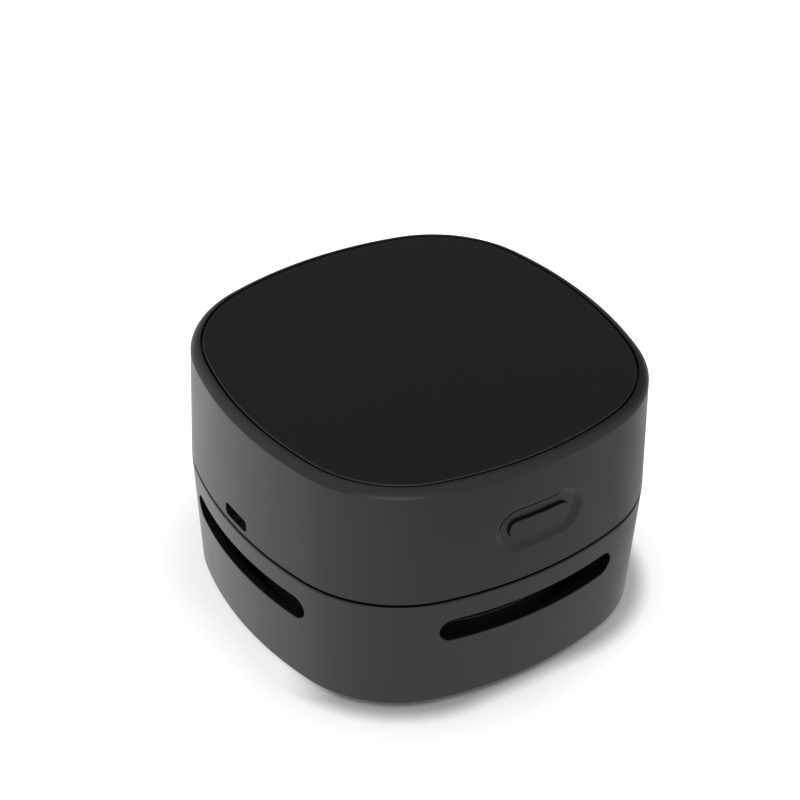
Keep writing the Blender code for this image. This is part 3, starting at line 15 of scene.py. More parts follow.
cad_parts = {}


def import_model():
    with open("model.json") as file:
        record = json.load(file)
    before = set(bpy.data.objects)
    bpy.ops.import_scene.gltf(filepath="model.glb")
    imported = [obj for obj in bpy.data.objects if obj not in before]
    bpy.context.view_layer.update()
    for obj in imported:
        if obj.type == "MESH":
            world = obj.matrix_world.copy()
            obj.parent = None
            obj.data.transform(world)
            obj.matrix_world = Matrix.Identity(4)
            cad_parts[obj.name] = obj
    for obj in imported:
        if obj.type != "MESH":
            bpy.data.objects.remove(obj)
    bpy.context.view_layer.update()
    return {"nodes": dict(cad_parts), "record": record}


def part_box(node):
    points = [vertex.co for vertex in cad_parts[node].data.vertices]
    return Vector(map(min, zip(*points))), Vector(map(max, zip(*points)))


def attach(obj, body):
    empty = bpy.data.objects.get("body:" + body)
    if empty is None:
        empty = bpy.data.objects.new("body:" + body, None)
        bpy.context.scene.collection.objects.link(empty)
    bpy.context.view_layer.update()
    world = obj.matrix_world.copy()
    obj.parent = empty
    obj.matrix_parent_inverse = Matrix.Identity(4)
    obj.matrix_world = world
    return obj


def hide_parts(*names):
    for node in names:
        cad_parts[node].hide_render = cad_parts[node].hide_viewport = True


LOG = logging.getLogger("mini_vacuum")
MM = 0.001
Path = list[tuple[float, float]]
Rings = Sequence[Sequence[Vector]]


class Body(Enum):
    """Bodies that the pieces ride on."""

    BIN = "dust_bin"
    UNIT = "motor_unit"
    ROTOR = "rotor"
    BUTTON = "button"
    PLUNGER = "plunger"


class Side(Enum):
    """Sides of the body, by the bearing that they face."""

    FRONT = -90.0
    RIGHT = 0.0
    BACK = 90.0
    LEFT = 180.0


class Texture(Enum):
    """How a finish breaks up its surface."""

    GRAIN = "moulded grain"
    DRAWN = "lines drawn along the piece"
    TURNED = "rings left by turning"
    FIBRE = "matted fibres"
    WOUND = "turns of wire"


class Cut(Enum):
    """Ways to combine two closed forms."""

    REMOVE = "DIFFERENCE"
    KEEP = "INTERSECT"


class Signal:
    """A node's output that can take part in an expression."""

    def __init__(self, graph: "Graph", socket: bpy.types.NodeSocket) -> None:
        """Hold the output and the tree that it belongs to."""
        self.graph = graph
        self.socket = socket

    def __add__(self, other: "Signal | float") -> "Signal":
        """Sum."""
        return self.graph.math("ADD", self, other)

    def __radd__(self, other: float) -> "Signal":
        """Sum with a number on the left."""
        return self.graph.math("ADD", other, self)

    def __sub__(self, other: "Signal | float") -> "Signal":
        """Difference."""
        return self.graph.math("SUBTRACT", self, other)

    def __rsub__(self, other: float) -> "Signal":
        """Difference from a number on the left."""
        return self.graph.math("SUBTRACT", other, self)

    def __mul__(self, other: "Signal | float") -> "Signal":
        """Product."""
        return self.graph.math("MULTIPLY", self, other)

    def __rmul__(self, other: float) -> "Signal":
        """Product with a number on the left."""
        return self.graph.math("MULTIPLY", other, self)

    def __truediv__(self, other: "Signal | float") -> "Signal":
        """Quotient."""
        return self.graph.math("DIVIDE", self, other)

    def __mod__(self, other: "Signal | float") -> "Signal":
        """Remainder that is never negative."""
        return self.graph.math("FLOORED_MODULO", self, other)


class Graph:
    """Adds nodes to one shader or geometry tree."""

    def __init__(self, tree: bpy.types.NodeTree) -> None:
        """Start on a tree."""
        self.tree = tree

    def node(self, kind: str, settings: dict[str, Any] | None = None,
             sockets: dict[str | int, Any] | None = None) -> bpy.types.Node:
        """Add one node.

        Args:
            kind: the node's type.
            settings: properties that are set before the sockets.
            sockets: values or signals by the socket's name or number.

        Returns:
            The new node.
        """
        made = self.tree.nodes.new(kind)
        for name, value in (settings or {}).items():
            setattr(made, name, value)
        for key, value in (sockets or {}).items():
            if isinstance(value, Signal):
                self.tree.links.new(value.socket, made.inputs[key])
            else:
                made.inputs[key].default_value = value
        return made

    def out(self, node: bpy.types.Node, key: str | int = 0) -> Signal:
        """One output of a node as a signal."""
        return Signal(self, node.outputs[key])

    def parts(self, place: Signal) -> list[Signal]:
        """The three coordinates of a vector."""
        made = self.node("ShaderNodeSeparateXYZ", None, {0: place})
        return [self.out(made, axis) for axis in range(3)]

    def vector(self, *parts: "Signal | float") -> Signal:
        """A vector of up to three coordinates, the rest being zero."""
        return self.out(self.node("ShaderNodeCombineXYZ", None, dict(enumerate(parts))))

    def math(self, operation: str, *values: "Signal | float") -> Signal:
        """One step of arithmetic on numbers."""
        sockets = dict(enumerate(values))
        return self.out(self.node("ShaderNodeMath", {"operation": operation}, sockets))

    def ramp(self, value: Signal, low: float, high: float, start: float = 0.0,
             end: float = 1.0) -> Signal:
        """Ease a number from one range into another.

        Args:
            value: the number to map.
            low: value at which the result is start.
            high: value at which the result is end.
            start: result at low.
            end: result at high.

        Returns:
            The mapped number.
        """
        sockets = {0: value, 1: low, 2: high, 3: start, 4: end}
        made = self.node("ShaderNodeMapRange", {"interpolation_type": "SMOOTHSTEP"}, sockets)
        return self.out(made)

    def blend(self, share: Signal, first: Sequence[float], second: Sequence[float]) -> Signal:
        """Mix two colours by a share."""
        made = self.node("ShaderNodeMix", {"data_type": "RGBA"},
                         {0: share, 6: (*first, 1.0), 7: (*second, 1.0)})
        return self.out(made, 2)

    def noise(self, place: Signal, size: float, detail: float = 2.0) -> Signal:
        """Cloudy pattern with features of a given size."""
        made = self.node("ShaderNodeTexNoise", {"noise_dimensions": "3D"},
                         {"Vector": place, "Scale": 1.0 / size, "Detail": detail})
        return self.out(made, 0)


@dataclass(frozen=True)
class Finish:
    """One material of the object, as its maker would name it."""

    slot: str
    colour: tuple[float, float, float]
    roughness: float
    texture: Texture = Texture.GRAIN
    metallic: float = 0.0
    specular: float = 0.5
    grain: float = 0.22 * MM
    depth: float = 0.004 * MM
    mottle: float = 0.10
    tint: float = 0.06
    stretch: tuple[float, float, float] = (1.0, 1.0, 1.0)
    coat: float = 0.0

    def pattern(self, graph: Graph, place: Signal) -> Signal:
        """Height of the finish's own surface, from 0 to 1.

        Args:
            graph: the material's tree.
            place: position on the piece.

        Returns:
            The height.
        """
        if self.texture is Texture.TURNED:
            across, along, height = graph.parts(place)
            radius = graph.math("SQRT", across * across + along * along)
            return graph.noise(graph.vector(radius, 0.0, height), self.grain, 3.0)
        stretched = graph.node("ShaderNodeMapping", None, {"Vector": place, "Scale": self.stretch})
        place = graph.out(stretched)
        if self.texture is Texture.DRAWN:
            return graph.noise(place, self.grain, 3.0)
        if self.texture is Texture.FIBRE:
            cells = graph.node("ShaderNodeTexVoronoi", {"feature": "DISTANCE_TO_EDGE"},
                               {"Vector": place, "Scale": 1.0 / self.grain})
            edge = graph.ramp(graph.out(cells), 0.0, 0.35)
            return 1.0 - edge * graph.noise(place, self.grain / 2, 4.0)
        if self.texture is Texture.WOUND:
            wave = graph.node("ShaderNodeTexWave", {"bands_direction": "Z"},
                              {"Vector": place, "Scale": 0.314 / self.grain, "Distortion": 0.6})
            return graph.out(wave, 1)
        return graph.noise(place, self.grain, 2.0)

    def material(self) -> bpy.types.Material:
        """The finish as a procedural material, made once."""
        name = f"{self.slot}_finish"
        if name in bpy.data.materials:
            return bpy.data.materials[name]
        made = bpy.data.materials.new(name)
        made.use_nodes = True
        made.diffuse_color = (*self.colour, 1.0)
        graph = Graph(made.node_tree)
        shader = made.node_tree.nodes["Principled BSDF"]
        shader.inputs["Metallic"].default_value = self.metallic
        shader.inputs["Specular IOR Level"].default_value = self.specular
        shader.inputs["Coat Weight"].default_value = self.coat
        shader.inputs["Coat Roughness"].default_value = 0.12
        place = graph.out(graph.node("ShaderNodeTexCoord"), "Object")
        height = self.pattern(graph, place)
        cloud = graph.noise(place, 9.0 * MM, 3.0)
        dark = tuple(value * (1.0 - self.tint) for value in self.colour)
        light = tuple(min(1.0, value * (1.0 + self.tint)) for value in self.colour)
        share = cloud * 0.5 + height * 0.5
        links = made.node_tree.links
        links.new(graph.blend(share, dark, light).socket, shader.inputs["Base Color"])
        low = max(0.02, self.roughness * (1.0 - self.mottle))
        high = min(1.0, self.roughness * (1.0 + self.mottle))
        rough = graph.ramp(cloud * 0.6 + height * 0.4, 0.25, 0.75, low, high)
        links.new(rough.socket, shader.inputs["Roughness"])
        bump = graph.node("ShaderNodeBump", None,
                          {"Strength": 1.0, "Distance": self.depth, "Height": height})
        links.new(bump.outputs[0], shader.inputs["Normal"])
        return made


def finishes() -> dict[str, Finish]:
    """Every finish of the object by the record's material slot."""
    made = (
        Finish("shell_plastic", (0.0050, 0.0050, 0.0052), 0.34, specular=0.44, depth=0.0016 * MM),
        Finish("panel_plastic", (0.0032, 0.0032, 0.0034), 0.26, specular=0.50, mottle=0.04,
               depth=0.0006 * MM, tint=0.03),
        Finish("inner_plastic", (0.0024, 0.0024, 0.0025), 0.52, specular=0.10, depth=0.006 * MM),
        Finish("cup_plastic", (0.085, 0.088, 0.092), 0.18, coat=0.5, depth=0.001 * MM),
        Finish("fan_plastic", (0.560, 0.555, 0.530), 0.38, depth=0.002 * MM, tint=0.03),
        Finish("rubber", (0.014, 0.014, 0.014), 0.78, specular=0.35, grain=0.12 * MM,
               depth=0.010 * MM),
        Finish("bristle", (0.020, 0.020, 0.021), 0.42, Texture.DRAWN, grain=0.30 * MM,
               stretch=(1.0, 1.0, 0.1), depth=0.002 * MM),
        Finish("filter_cloth", (0.640, 0.630, 0.590), 0.92, Texture.FIBRE, specular=0.2,
               grain=0.16 * MM, depth=0.05 * MM, tint=0.16),
        Finish("steel", (0.560, 0.565, 0.575), 0.30, Texture.TURNED, 1.0, grain=0.10 * MM,
               depth=0.003 * MM, mottle=0.22),
        Finish("brass", (0.660, 0.470, 0.220), 0.32, Texture.TURNED, 1.0, grain=0.12 * MM,
               depth=0.003 * MM, mottle=0.2),
        Finish("magnet", (0.046, 0.046, 0.049), 0.58, metallic=0.2, grain=0.15 * MM,
               depth=0.02 * MM, tint=0.2),
        Finish("winding", (0.480, 0.170, 0.060), 0.34, Texture.WOUND, 0.85, grain=0.28 * MM,
               depth=0.06 * MM, tint=0.3),
        Finish("cell_sleeve", (0.040, 0.130, 0.330), 0.30, coat=0.35, grain=1.5 * MM,
               depth=0.012 * MM),
        Finish("board", (0.012, 0.105, 0.038), 0.34, coat=0.4, grain=0.30 * MM,
               depth=0.006 * MM, tint=0.18),
        Finish("chip", (0.013, 0.013, 0.014), 0.52, grain=0.08 * MM, depth=0.006 * MM),
        Finish("lamp", (0.820, 0.800, 0.680), 0.16, coat=0.6, depth=0.0005 * MM),
        Finish("wire_red", (0.430, 0.016, 0.014), 0.36, grain=0.5 * MM, depth=0.004 * MM),
        Finish("wire_black", (0.012, 0.012, 0.013), 0.36, grain=0.5 * MM, depth=0.004 * MM),
    )
    return {finish.slot: finish for finish in made}


FINISH = finishes()


def turned_to(bearing: float, radius: float, z: float = 0.0) -> Vector:
    """Point at a bearing in degrees, a distance from the middle and a height."""
    angle = math.radians(bearing)
    return Vector((radius * math.cos(angle), radius * math.sin(angle), z))


def soften(path: Path, radii: dict[int, float], steps: int = 5) -> Path:
    """Round chosen corners of a path.

    Args:
        path: corners of the path.
        radii: radius of the rounding by the corner's number.
        steps: stretches in each rounding.

    Returns:
        The path with its rounded corners.
    """
    result: Path = []
    for index, corner in enumerate(path):
        radius = radii.get(index, 0.0)
        if not radius:
            result.append(corner)
            continue
        here = Vector(corner)
        back = (Vector(path[index - 1]) - here).normalized()
        ahead = (Vector(path[(index + 1) % len(path)]) - here).normalized()
        half = back.angle(ahead) / 2
        centre = here + (back + ahead).normalized() * (radius / math.sin(half))
        reach = radius / math.tan(half)
        first, last = here + back * reach - centre, here + ahead * reach - centre
        sweep = first.angle(last)
        for step in range(steps + 1):
            share = step / steps
            arm = first * math.sin((1 - share) * sweep) + last * math.sin(share * sweep)
            result.append(tuple(centre + arm / math.sin(sweep)))
    return result


def eased(path: Path, radii: dict[int, float], steps: int = 5) -> Path:
    """Round chosen corners of a path, with radii in millimetres."""
    return soften(path, {index: radius * MM for index, radius in radii.items()}, steps)


def numbered(stem: str, count: int = 4) -> list[str]:
    """Names of nodes that only differ by their number."""
    return [f"{stem}_{number}" for number in range(1, count + 1)]


def lying(axis: str, *place: float) -> Matrix:
    """Placement that turns an upright form by a quarter turn and sets it on a spot."""
    return Matrix.Translation(place) @ Matrix.Rotation(math.pi / 2, 4, axis)


def paced(path: Path, step: float, closed: bool = False, guard: float = 0.1 * MM) -> Path:
    """Add points to a path's long stretches, with one close to each of their ends.

    Args:
        path: the path.
        step: longest stretch that is left.
        closed: whether the path ends where it starts.
        guard: distance of the points beside each corner.

    Returns:
        The path with the added points.
    """
    ends = path + path[:1] if closed else path
    result: Path = [path[0]]
    for first, last in zip(ends, ends[1:]):
        start, run = Vector(first), Vector(last) - Vector(first)
        length = run.length
        if length > 3 * guard:
            middle = length - 2 * guard
            count = max(1, math.ceil(middle / step))
            for number in range(count + 1):
                share = (guard + middle * number / count) / length
                result.append(tuple(start + run * share))
        result.append(last)
    return result[:-1] if closed else result


def stadium(length: float, height: float, steps: int = 16) -> Path:
    """Loop with two straight sides and two round ends."""
    radius = height / 2
    middle = length / 2 - radius
    loop: Path = []
    for side in (1, -1):
        for step in range(steps + 1):
            angle = math.pi * (step / steps - 0.5)
            loop.append((side * (middle + radius * math.cos(angle)),
                         side * radius * math.sin(angle)))
    return paced(loop, 0.7 * MM, True, 0.3 * MM)


def stadium_section(length: float, height: float) -> Callable[[float], Path]:
    """Section of a stadium hole, which grows by a length."""
    return lambda growth: stadium(length + 2 * growth, height + 2 * growth, 24)


def rounded_box(width: float, height: float, corner: float, steps: int = 6) -> Path:
    """Loop of a box with rounded corners."""
    half_w, half_h = width / 2, height / 2
    loop = [(half_w, -half_h), (half_w, half_h), (-half_w, half_h), (-half_w, -half_h)]
    return soften(loop, dict.fromkeys(range(4), corner), steps)


@dataclass(frozen=True)
class Column:
    """One upright line of the outline, at a bearing round an arc's centre."""

    centre: Vector
    radius: float
    bearing: float

    def at(self, inset: float, z: float) -> Vector:
        """Point of the line at a height and a distance inside the outline."""
        return self.centre + turned_to(self.bearing, self.radius - inset, z)


@dataclass(frozen=True)
class Outline:
    """Rounded square of four bulged sides and four corner arcs."""

    half_width: float = 42.5 * MM
    side_radius: float = 80.8 * MM
    corner_radius: float = 26.8 * MM

    @property
    def side_centre(self) -> float:
        """Place of a side's arc centre along the side's bearing."""
        return self.half_width - self.side_radius

    @property
    def corner_centre(self) -> float:
        """Place of a corner's arc centre along x and along y."""
        reach = self.side_radius - self.corner_radius
        return (self.side_centre + math.sqrt(2 * reach ** 2 - self.side_centre ** 2)) / 2

    @property
    def meet(self) -> float:
        """Angle in degrees at which a side's arc runs into a corner's."""
        run = self.corner_centre - self.side_centre
        return math.degrees(math.atan2(self.corner_centre, run))

    def diagonal(self, inset: float) -> float:
        """Distance from the middle to a point inside a corner."""
        return self.corner_centre * math.sqrt(2) + self.corner_radius - inset

    @staticmethod
    def corners(distance: float) -> list[Vector]:
        """Spots on the four diagonals, a distance from the middle."""
        return [turned_to(side.value + 45.0, distance) for side in Side]

    def reach(self, across: float, inset: float) -> float:
        """How far a side stands from the middle, at an offset across it."""
        across = abs(across)
        side = self.side_radius - inset
        if across <= side * math.sin(math.radians(self.meet)):
            return self.side_centre + math.sqrt(side ** 2 - across ** 2)
        corner = self.corner_radius - inset
        return self.corner_centre + math.sqrt(corner ** 2 - (across - self.corner_centre) ** 2)

    def on_side(self, side: Side, across: float, z: float, inset: float) -> Vector:
        """Point on a side, by the offset across it as seen from outside."""
        out = turned_to(side.value, self.reach(across, inset), z)
        return out + turned_to(side.value + 90.0, across)

    def columns(self, step: float, fine_half: float = 0.0, fine: float = 0.0) -> list[Column]:
        """Upright lines all round the outline.

        Args:
            step: distance between them.
            fine_half: half the width of a closer stretch on the front.
            fine: distance between them there.

        Returns:
            The lines, counter-clockwise from the front's left end.
        """
        result = []
        for side in Side:
            marks = [-self.meet, self.meet]
            if side is Side.FRONT and fine_half:
                turn = math.degrees(math.asin(fine_half / self.side_radius))
                marks = [-self.meet, -turn, turn, self.meet]
            for index, (low, high) in enumerate(zip(marks, marks[1:])):
                pace = fine if len(marks) == 4 and index == 1 else step
                count = math.ceil(math.radians(high - low) * self.side_radius / pace)
                centre = turned_to(side.value, self.side_centre)
                for number in range(count):
                    bearing = side.value + low + (high - low) * number / count
                    result.append(Column(centre, self.side_radius, bearing))
            centre = turned_to(side.value + 45.0, self.corner_centre * math.sqrt(2))
            span = 90.0 - 2 * self.meet
            count = math.ceil(math.radians(span) * self.corner_radius / step)
            for number in range(count):
                bearing = side.value + self.meet + span * number / count
                result.append(Column(centre, self.corner_radius, bearing))
        return result


OUTLINE = Outline()


@dataclass
class Form:
    """Closed skins that become one mesh."""

    name: str
    points: list[Vector] = field(default_factory=list)
    faces: list[tuple[int, ...]] = field(default_factory=list)

    def skin(self, rings: Rings, closed: bool = False) -> "Form":
        """Add a skin over a stack of loops.

        Args:
            rings: loops of equal length, or single points as poles.
            closed: whether the last loop joins the first, or else both ends are capped.

        Returns:
            The form itself.
        """
        starts = []
        for ring in rings:
            starts.append(len(self.points))
            self.points.extend(Vector(point) for point in ring)
        count = max(len(ring) for ring in rings)
        faces = []
        pairs = list(zip(range(len(rings)), range(1, len(rings))))
        if closed:
            pairs.append((len(rings) - 1, 0))
        for low, high in pairs:
            for number in range(count):
                after = (number + 1) % count
                face = [starts[low] + number, starts[low] + after,
                        starts[high] + after, starts[high] + number]
                if len(rings[low]) == 1:
                    face = [starts[low], starts[high] + after, starts[high] + number]
                elif len(rings[high]) == 1:
                    face = [starts[low] + number, starts[low] + after, starts[high]]
                faces.append(tuple(face))
        if not closed:
            if len(rings[0]) > 2:
                faces.append(tuple(reversed(range(starts[0], starts[0] + count))))
            if len(rings[-1]) > 2:
                faces.append(tuple(range(starts[-1], starts[-1] + count)))
        volume = 0.0
        for face in faces:
            first = self.points[face[0]]
            for second, third in zip(face[1:], face[2:]):
                volume += first.dot(self.points[second].cross(self.points[third]))
        self.faces += faces if volume > 0.0 else [face[::-1] for face in faces]
        return self

    def wrap(self, columns: Sequence[Column], path: Path,
             closed: bool = False) -> "Form":
        """Add a skin that carries a path of insets and heights round the outline."""
        return self.skin([[column.at(*spot) for column in columns] for spot in path], closed)

    def turn(self, path: Path, closed: bool = True, steps: int = 96,
             place: Vector | None = None) -> "Form":
        """Add a skin that turns a path of radii and heights round an upright axis.

        Args:
            path: radii and heights.
            closed: whether the path is a loop.
            steps: facets round the axis.
            place: where the axis stands.

        Returns:
            The form itself.
        """
        origin = place or Vector((0.0, 0.0, 0.0))
        rings = []
        for radius, z in path:
            count = steps if radius > 1e-7 else 1
            rings.append([origin + turned_to(360.0 * number / count, radius, z)
                          for number in range(count)])
        return self.skin(rings, closed)

    def rod(self, radius: float, low: float, high: float, place: Vector | None = None,
            steps: int = 48, edge: float = 0.0) -> "Form":
        """Add an upright rod, with rounded ends if an edge radius is given."""
        path = [(0.0, low), (radius, low), (radius, high), (0.0, high)]
        if edge:
            path = soften(path, {1: edge, 2: edge}, 3)
        return self.turn(path, False, steps, place)

    def rods(self, spots: Iterable[Vector], radius: float, low: float, high: float,
             steps: int = 32, edge: float = 0.0) -> "Form":
        """Add an upright rod at each spot."""
        for spot in spots:
            self.rod(radius, low, high, spot, steps, edge)
        return self

    def block(self, low: Sequence[float], high: Sequence[float], edge: float = 0.0) -> "Form":
        """Add a box between two corners, with its upright edges rounded by edge."""
        width, depth = high[0] - low[0], high[1] - low[1]
        middle = Vector(((low[0] + high[0]) / 2, (low[1] + high[1]) / 2, 0.0))
        corner = max(edge, 1e-6)
        stages = [(low[2], edge), (low[2] + edge, 0.0), (high[2] - edge, 0.0), (high[2], edge)]
        if not edge:
            stages = [(low[2], 0.0), (high[2], 0.0)]
        rings = []
        for z, shy in stages:
            loop = rounded_box(width - 2 * shy, depth - 2 * shy, corner, 3 if edge else 1)
            rings.append([middle + Vector((x, y, z)) for x, y in loop])
        return self.skin(rings)

    def bore(self, side: Side, loop: Callable[[float], Path], z: float,
             stages: Sequence[tuple[float, float]],
             inset: Callable[[float], float]) -> "Form":
        """Add a tool that follows a side's face.

        Args:
            side: side that it goes through.
            loop: gives the tool's section, grown by a length.
            z: height of the section's middle.
            stages: depths under the face, with the section's growth at each.
            inset: gives the face's inset at a height.

        Returns:
            The form itself.
        """
        rings = []
        for depth, growth in stages:
            rings.append([OUTLINE.on_side(side, across, z + rise, inset(z + rise) + depth)
                          for across, rise in loop(growth)])
        return self.skin(rings)

    def moved(self, matrix: Matrix) -> "Form":
        """Place every point of the form by a matrix that doesn't mirror."""
        self.points = [matrix @ point for point in self.points]
        return self

    def mesh(self) -> bpy.types.Mesh:
        """The form as a mesh with its faces pointing outwards."""
        work = bmesh.new()
        points = [work.verts.new(point) for point in self.points]
        for face in self.faces:
            work.faces.new([points[index] for index in face])
        bmesh.ops.remove_doubles(work, verts=work.verts, dist=1e-7)
        caps = [face for face in work.faces if len(face.verts) > 4]
        bmesh.ops.triangulate(work, faces=caps)
        made = bpy.data.meshes.new(self.name)
        work.to_mesh(made)
        work.free()
        return made


def as_object(name: str, mesh: bpy.types.Mesh) -> bpy.types.Object:
    """Link a mesh to the scene as an object at the origin."""
    made = bpy.data.objects.new(name, mesh)
    bpy.context.scene.collection.objects.link(made)
    return made


def evaluated(obj: bpy.types.Object) -> bpy.types.Mesh:
    """Mesh of an object with its modifiers worked in."""
    graph = bpy.context.evaluated_depsgraph_get()
    return bpy.data.meshes.new_from_object(obj.evaluated_get(graph))


def combine(target: bpy.types.Mesh, tool: bpy.types.Mesh, cut: Cut) -> bpy.types.Mesh:
    """Combine two closed meshes.

    Args:
        target: mesh that is changed.
        tool: mesh that changes it.
        cut: way to combine them.

    Returns:
        The new mesh.
    """
    body, other = as_object("target", target), as_object("tool", tool)
    step = body.modifiers.new("cut", "BOOLEAN")
    step.operation = cut.value
    step.solver = "EXACT"
    step.object = other
    result = evaluated(body)
    for spent in (body, other):
        bpy.data.objects.remove(spent, do_unlink=True)
    return result


def carve(form: Form, tools: Iterable[Form], cut: Cut = Cut.REMOVE) -> bpy.types.Mesh:
    """Combine a form with tools, one after the other."""
    mesh = form.mesh()
    for tool in tools:
        mesh = combine(mesh, tool.mesh(), cut)
    return mesh


def settle(name: str, mesh: bpy.types.Mesh, slot: str, body: Body, *nodes: str,
           sharp: float = 32.0) -> bpy.types.Object:
    """Finish a piece, put it on its body and hide the solids that it stands for.

    Args:
        name: the piece's name.
        mesh: its mesh.
        slot: finish that it takes.
        body: body that it rides on.
        nodes: solids that it stands for.
        sharp: angle in degrees past which an edge stays sharp.

    Returns:
        The piece.
    """
    mesh.name = name
    mesh.shade_smooth()
    mesh.set_sharp_from_angle(angle=math.radians(sharp))
    mesh.materials.clear()
    mesh.materials.append(FINISH[slot].material())
    piece = as_object(name, mesh)
    if nodes:
        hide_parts(*nodes)
    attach(piece, body.value)
    LOG.info("%s: %d faces, rides on %s", name, len(mesh.polygons), body.value)
    return piece


class Pattern:
    """Geometry tree that plants copies of a template on arcs, with named inputs."""

    def __init__(self, name: str, **kinds: str) -> None:
        """Start the tree.

        Args:
            name: the tree's name.
            kinds: socket kind of each input, beside those that every pattern has.
        """
        self.tree = bpy.data.node_groups.new(name, "GeometryNodeTree")
        face = self.tree.interface
        face.new_socket("Geometry", in_out="OUTPUT", socket_type="NodeSocketGeometry")
        kinds = {"Template": "Object", "Radius": "Float", "Height": "Float",
                 "Finish": "Material"} | kinds
        for key, kind in kinds.items():
            face.new_socket(key, in_out="INPUT", socket_type="NodeSocket" + kind)
        self.graph = Graph(self.tree)
        given = self.graph.node("NodeGroupInput")
        self.inputs = {key: self.graph.out(given, key) for key in kinds}
        self.index = self.graph.out(self.graph.node("GeometryNodeInputIndex"))

    def plant(self, count: Signal, radius: Signal, angle: Signal, turn: Signal) -> None:
        """End the tree with real copies that have their material.

        Args:
            count: how many copies.
            radius: each copy's distance from the middle.
            angle: each copy's bearing.
            turn: each copy's rotation.
        """
        graph = self.graph
        points = graph.node("GeometryNodePoints", None, {"Count": count})
        spot = graph.vector(radius * graph.math("COSINE", angle),
                            radius * graph.math("SINE", angle), self.inputs["Height"])
        placed = graph.node("GeometryNodeSetPosition", None,
                            {"Geometry": graph.out(points), "Position": spot})
        template = graph.node("GeometryNodeObjectInfo", None,
                              {"Object": self.inputs["Template"]})
        copies = graph.node("GeometryNodeInstanceOnPoints", None,
                            {"Points": graph.out(placed), "Rotation": turn,
                             "Instance": graph.out(template, "Geometry")})
        real = graph.node("GeometryNodeRealizeInstances", None, {0: graph.out(copies)})
        dressed = graph.node("GeometryNodeSetMaterial", None,
                             {"Geometry": graph.out(real), "Material": self.inputs["Finish"]})
        graph.node("NodeGroupOutput", None, {0: graph.out(dressed)})

    def grow(self, template: bpy.types.Mesh, slot: str, values: dict[str, Any]) -> bpy.types.Mesh:
        """Run the tree and return its copies as one plain mesh.

        Args:
            template: mesh that is repeated.
            slot: finish that the copies take.
            values: value of each other input by its name.

        Returns:
            The mesh of all the copies.
        """
        model = as_object("template", template)
        holder = as_object("holder", bpy.data.meshes.new("holder"))
        step = holder.modifiers.new("pattern", "NODES")
        step.node_group = self.tree
        values = values | {"Template": model, "Finish": FINISH[slot].material()}
        for item in self.tree.interface.items_tree:
            if item.in_out == "INPUT" and item.name in values:
                step[item.identifier] = values[item.name]
        mesh = evaluated(holder)
        for spent in (model, holder):
            bpy.data.objects.remove(spent, do_unlink=True)
        return mesh


class Ring(Pattern):
    """Copies of one piece in a circle."""

    def __init__(self) -> None:
        """Build the tree."""
        super().__init__("ring_of_pieces", Count="Int", First="Float")
        angle = self.inputs["First"] + self.index * math.tau / self.inputs["Count"]
        self.plant(self.inputs["Count"], self.inputs["Radius"], angle,
                   self.graph.vector(0.0, 0.0, angle))

    def mesh(self, template: bpy.types.Mesh, count: int, slot: str, radius: float = 0.0,
             height: float = 0.0, first: float = 0.0) -> bpy.types.Mesh:
        """Copies of a mesh in a circle as one plain mesh.

        Args:
            template: mesh that is repeated.
            count: how many copies.
            slot: finish that they take.
            radius: the circle's radius.
            height: how far the copies are lifted.
            first: bearing of the first copy in degrees.

        Returns:
            The mesh of all the copies.
        """
        values = {"Count": count, "Radius": radius, "Height": height,
                  "First": math.radians(first)}
        return self.grow(template, slot, values)


class Strip(Pattern):
    """Tufts of bristles along an arc."""

    def __init__(self) -> None:
        """Build the tree."""
        super().__init__("bristle_strip", Bristles="Int", Tufts="Int", Rows="Int",
                         Spacing="Float", Arc="Float", Bearing="Float", Tuft="Float",
                         Lean="Float", Seed="Int")
        wanted, graph = self.inputs, self.graph
        tuft = graph.math("FLOOR", self.index / wanted["Bristles"])
        row = graph.math("FLOOR", tuft / wanted["Tufts"])
        share = (tuft % wanted["Tufts"] + 0.5 + row * 0.5) / (wanted["Tufts"] + 0.5) - 0.5
        outward = row - (wanted["Rows"] - 1.0) * 0.5
        spread = [self.spread(salt) for salt in range(4)]
        radius = (wanted["Radius"] + outward * wanted["Spacing"]
                  + spread[0] * wanted["Tuft"])
        angle = (wanted["Bearing"] + share * wanted["Arc"]
                 + spread[1] * wanted["Tuft"] / wanted["Radius"])
        turn = graph.vector(spread[2] * wanted["Lean"], (spread[3] - outward) * wanted["Lean"],
                            angle)
        total = wanted["Bristles"] * wanted["Tufts"] * wanted["Rows"]
        self.plant(total, radius, angle, turn)

    def spread(self, salt: int) -> Signal:
        """Random number from -1 to 1 for each bristle, from the strip's seed."""
        seed = self.inputs["Seed"] * 4.0 + float(salt)
        made = self.graph.node("FunctionNodeRandomValue", {"data_type": "FLOAT"},
                               {2: -1.0, 3: 1.0, "Seed": seed})
        return self.graph.out(made, 1)


def ring_loop(inner: float, outer: float, low: float, high: float, edge: float,
              steps: int = 4) -> Path:
    """Section of a ring with rounded edges."""
    loop = [(inner, high), (outer, high), (outer, low), (inner, low)]
    return paced(soften(loop, dict.fromkeys(range(4), edge), steps), 2.0 * MM, True)


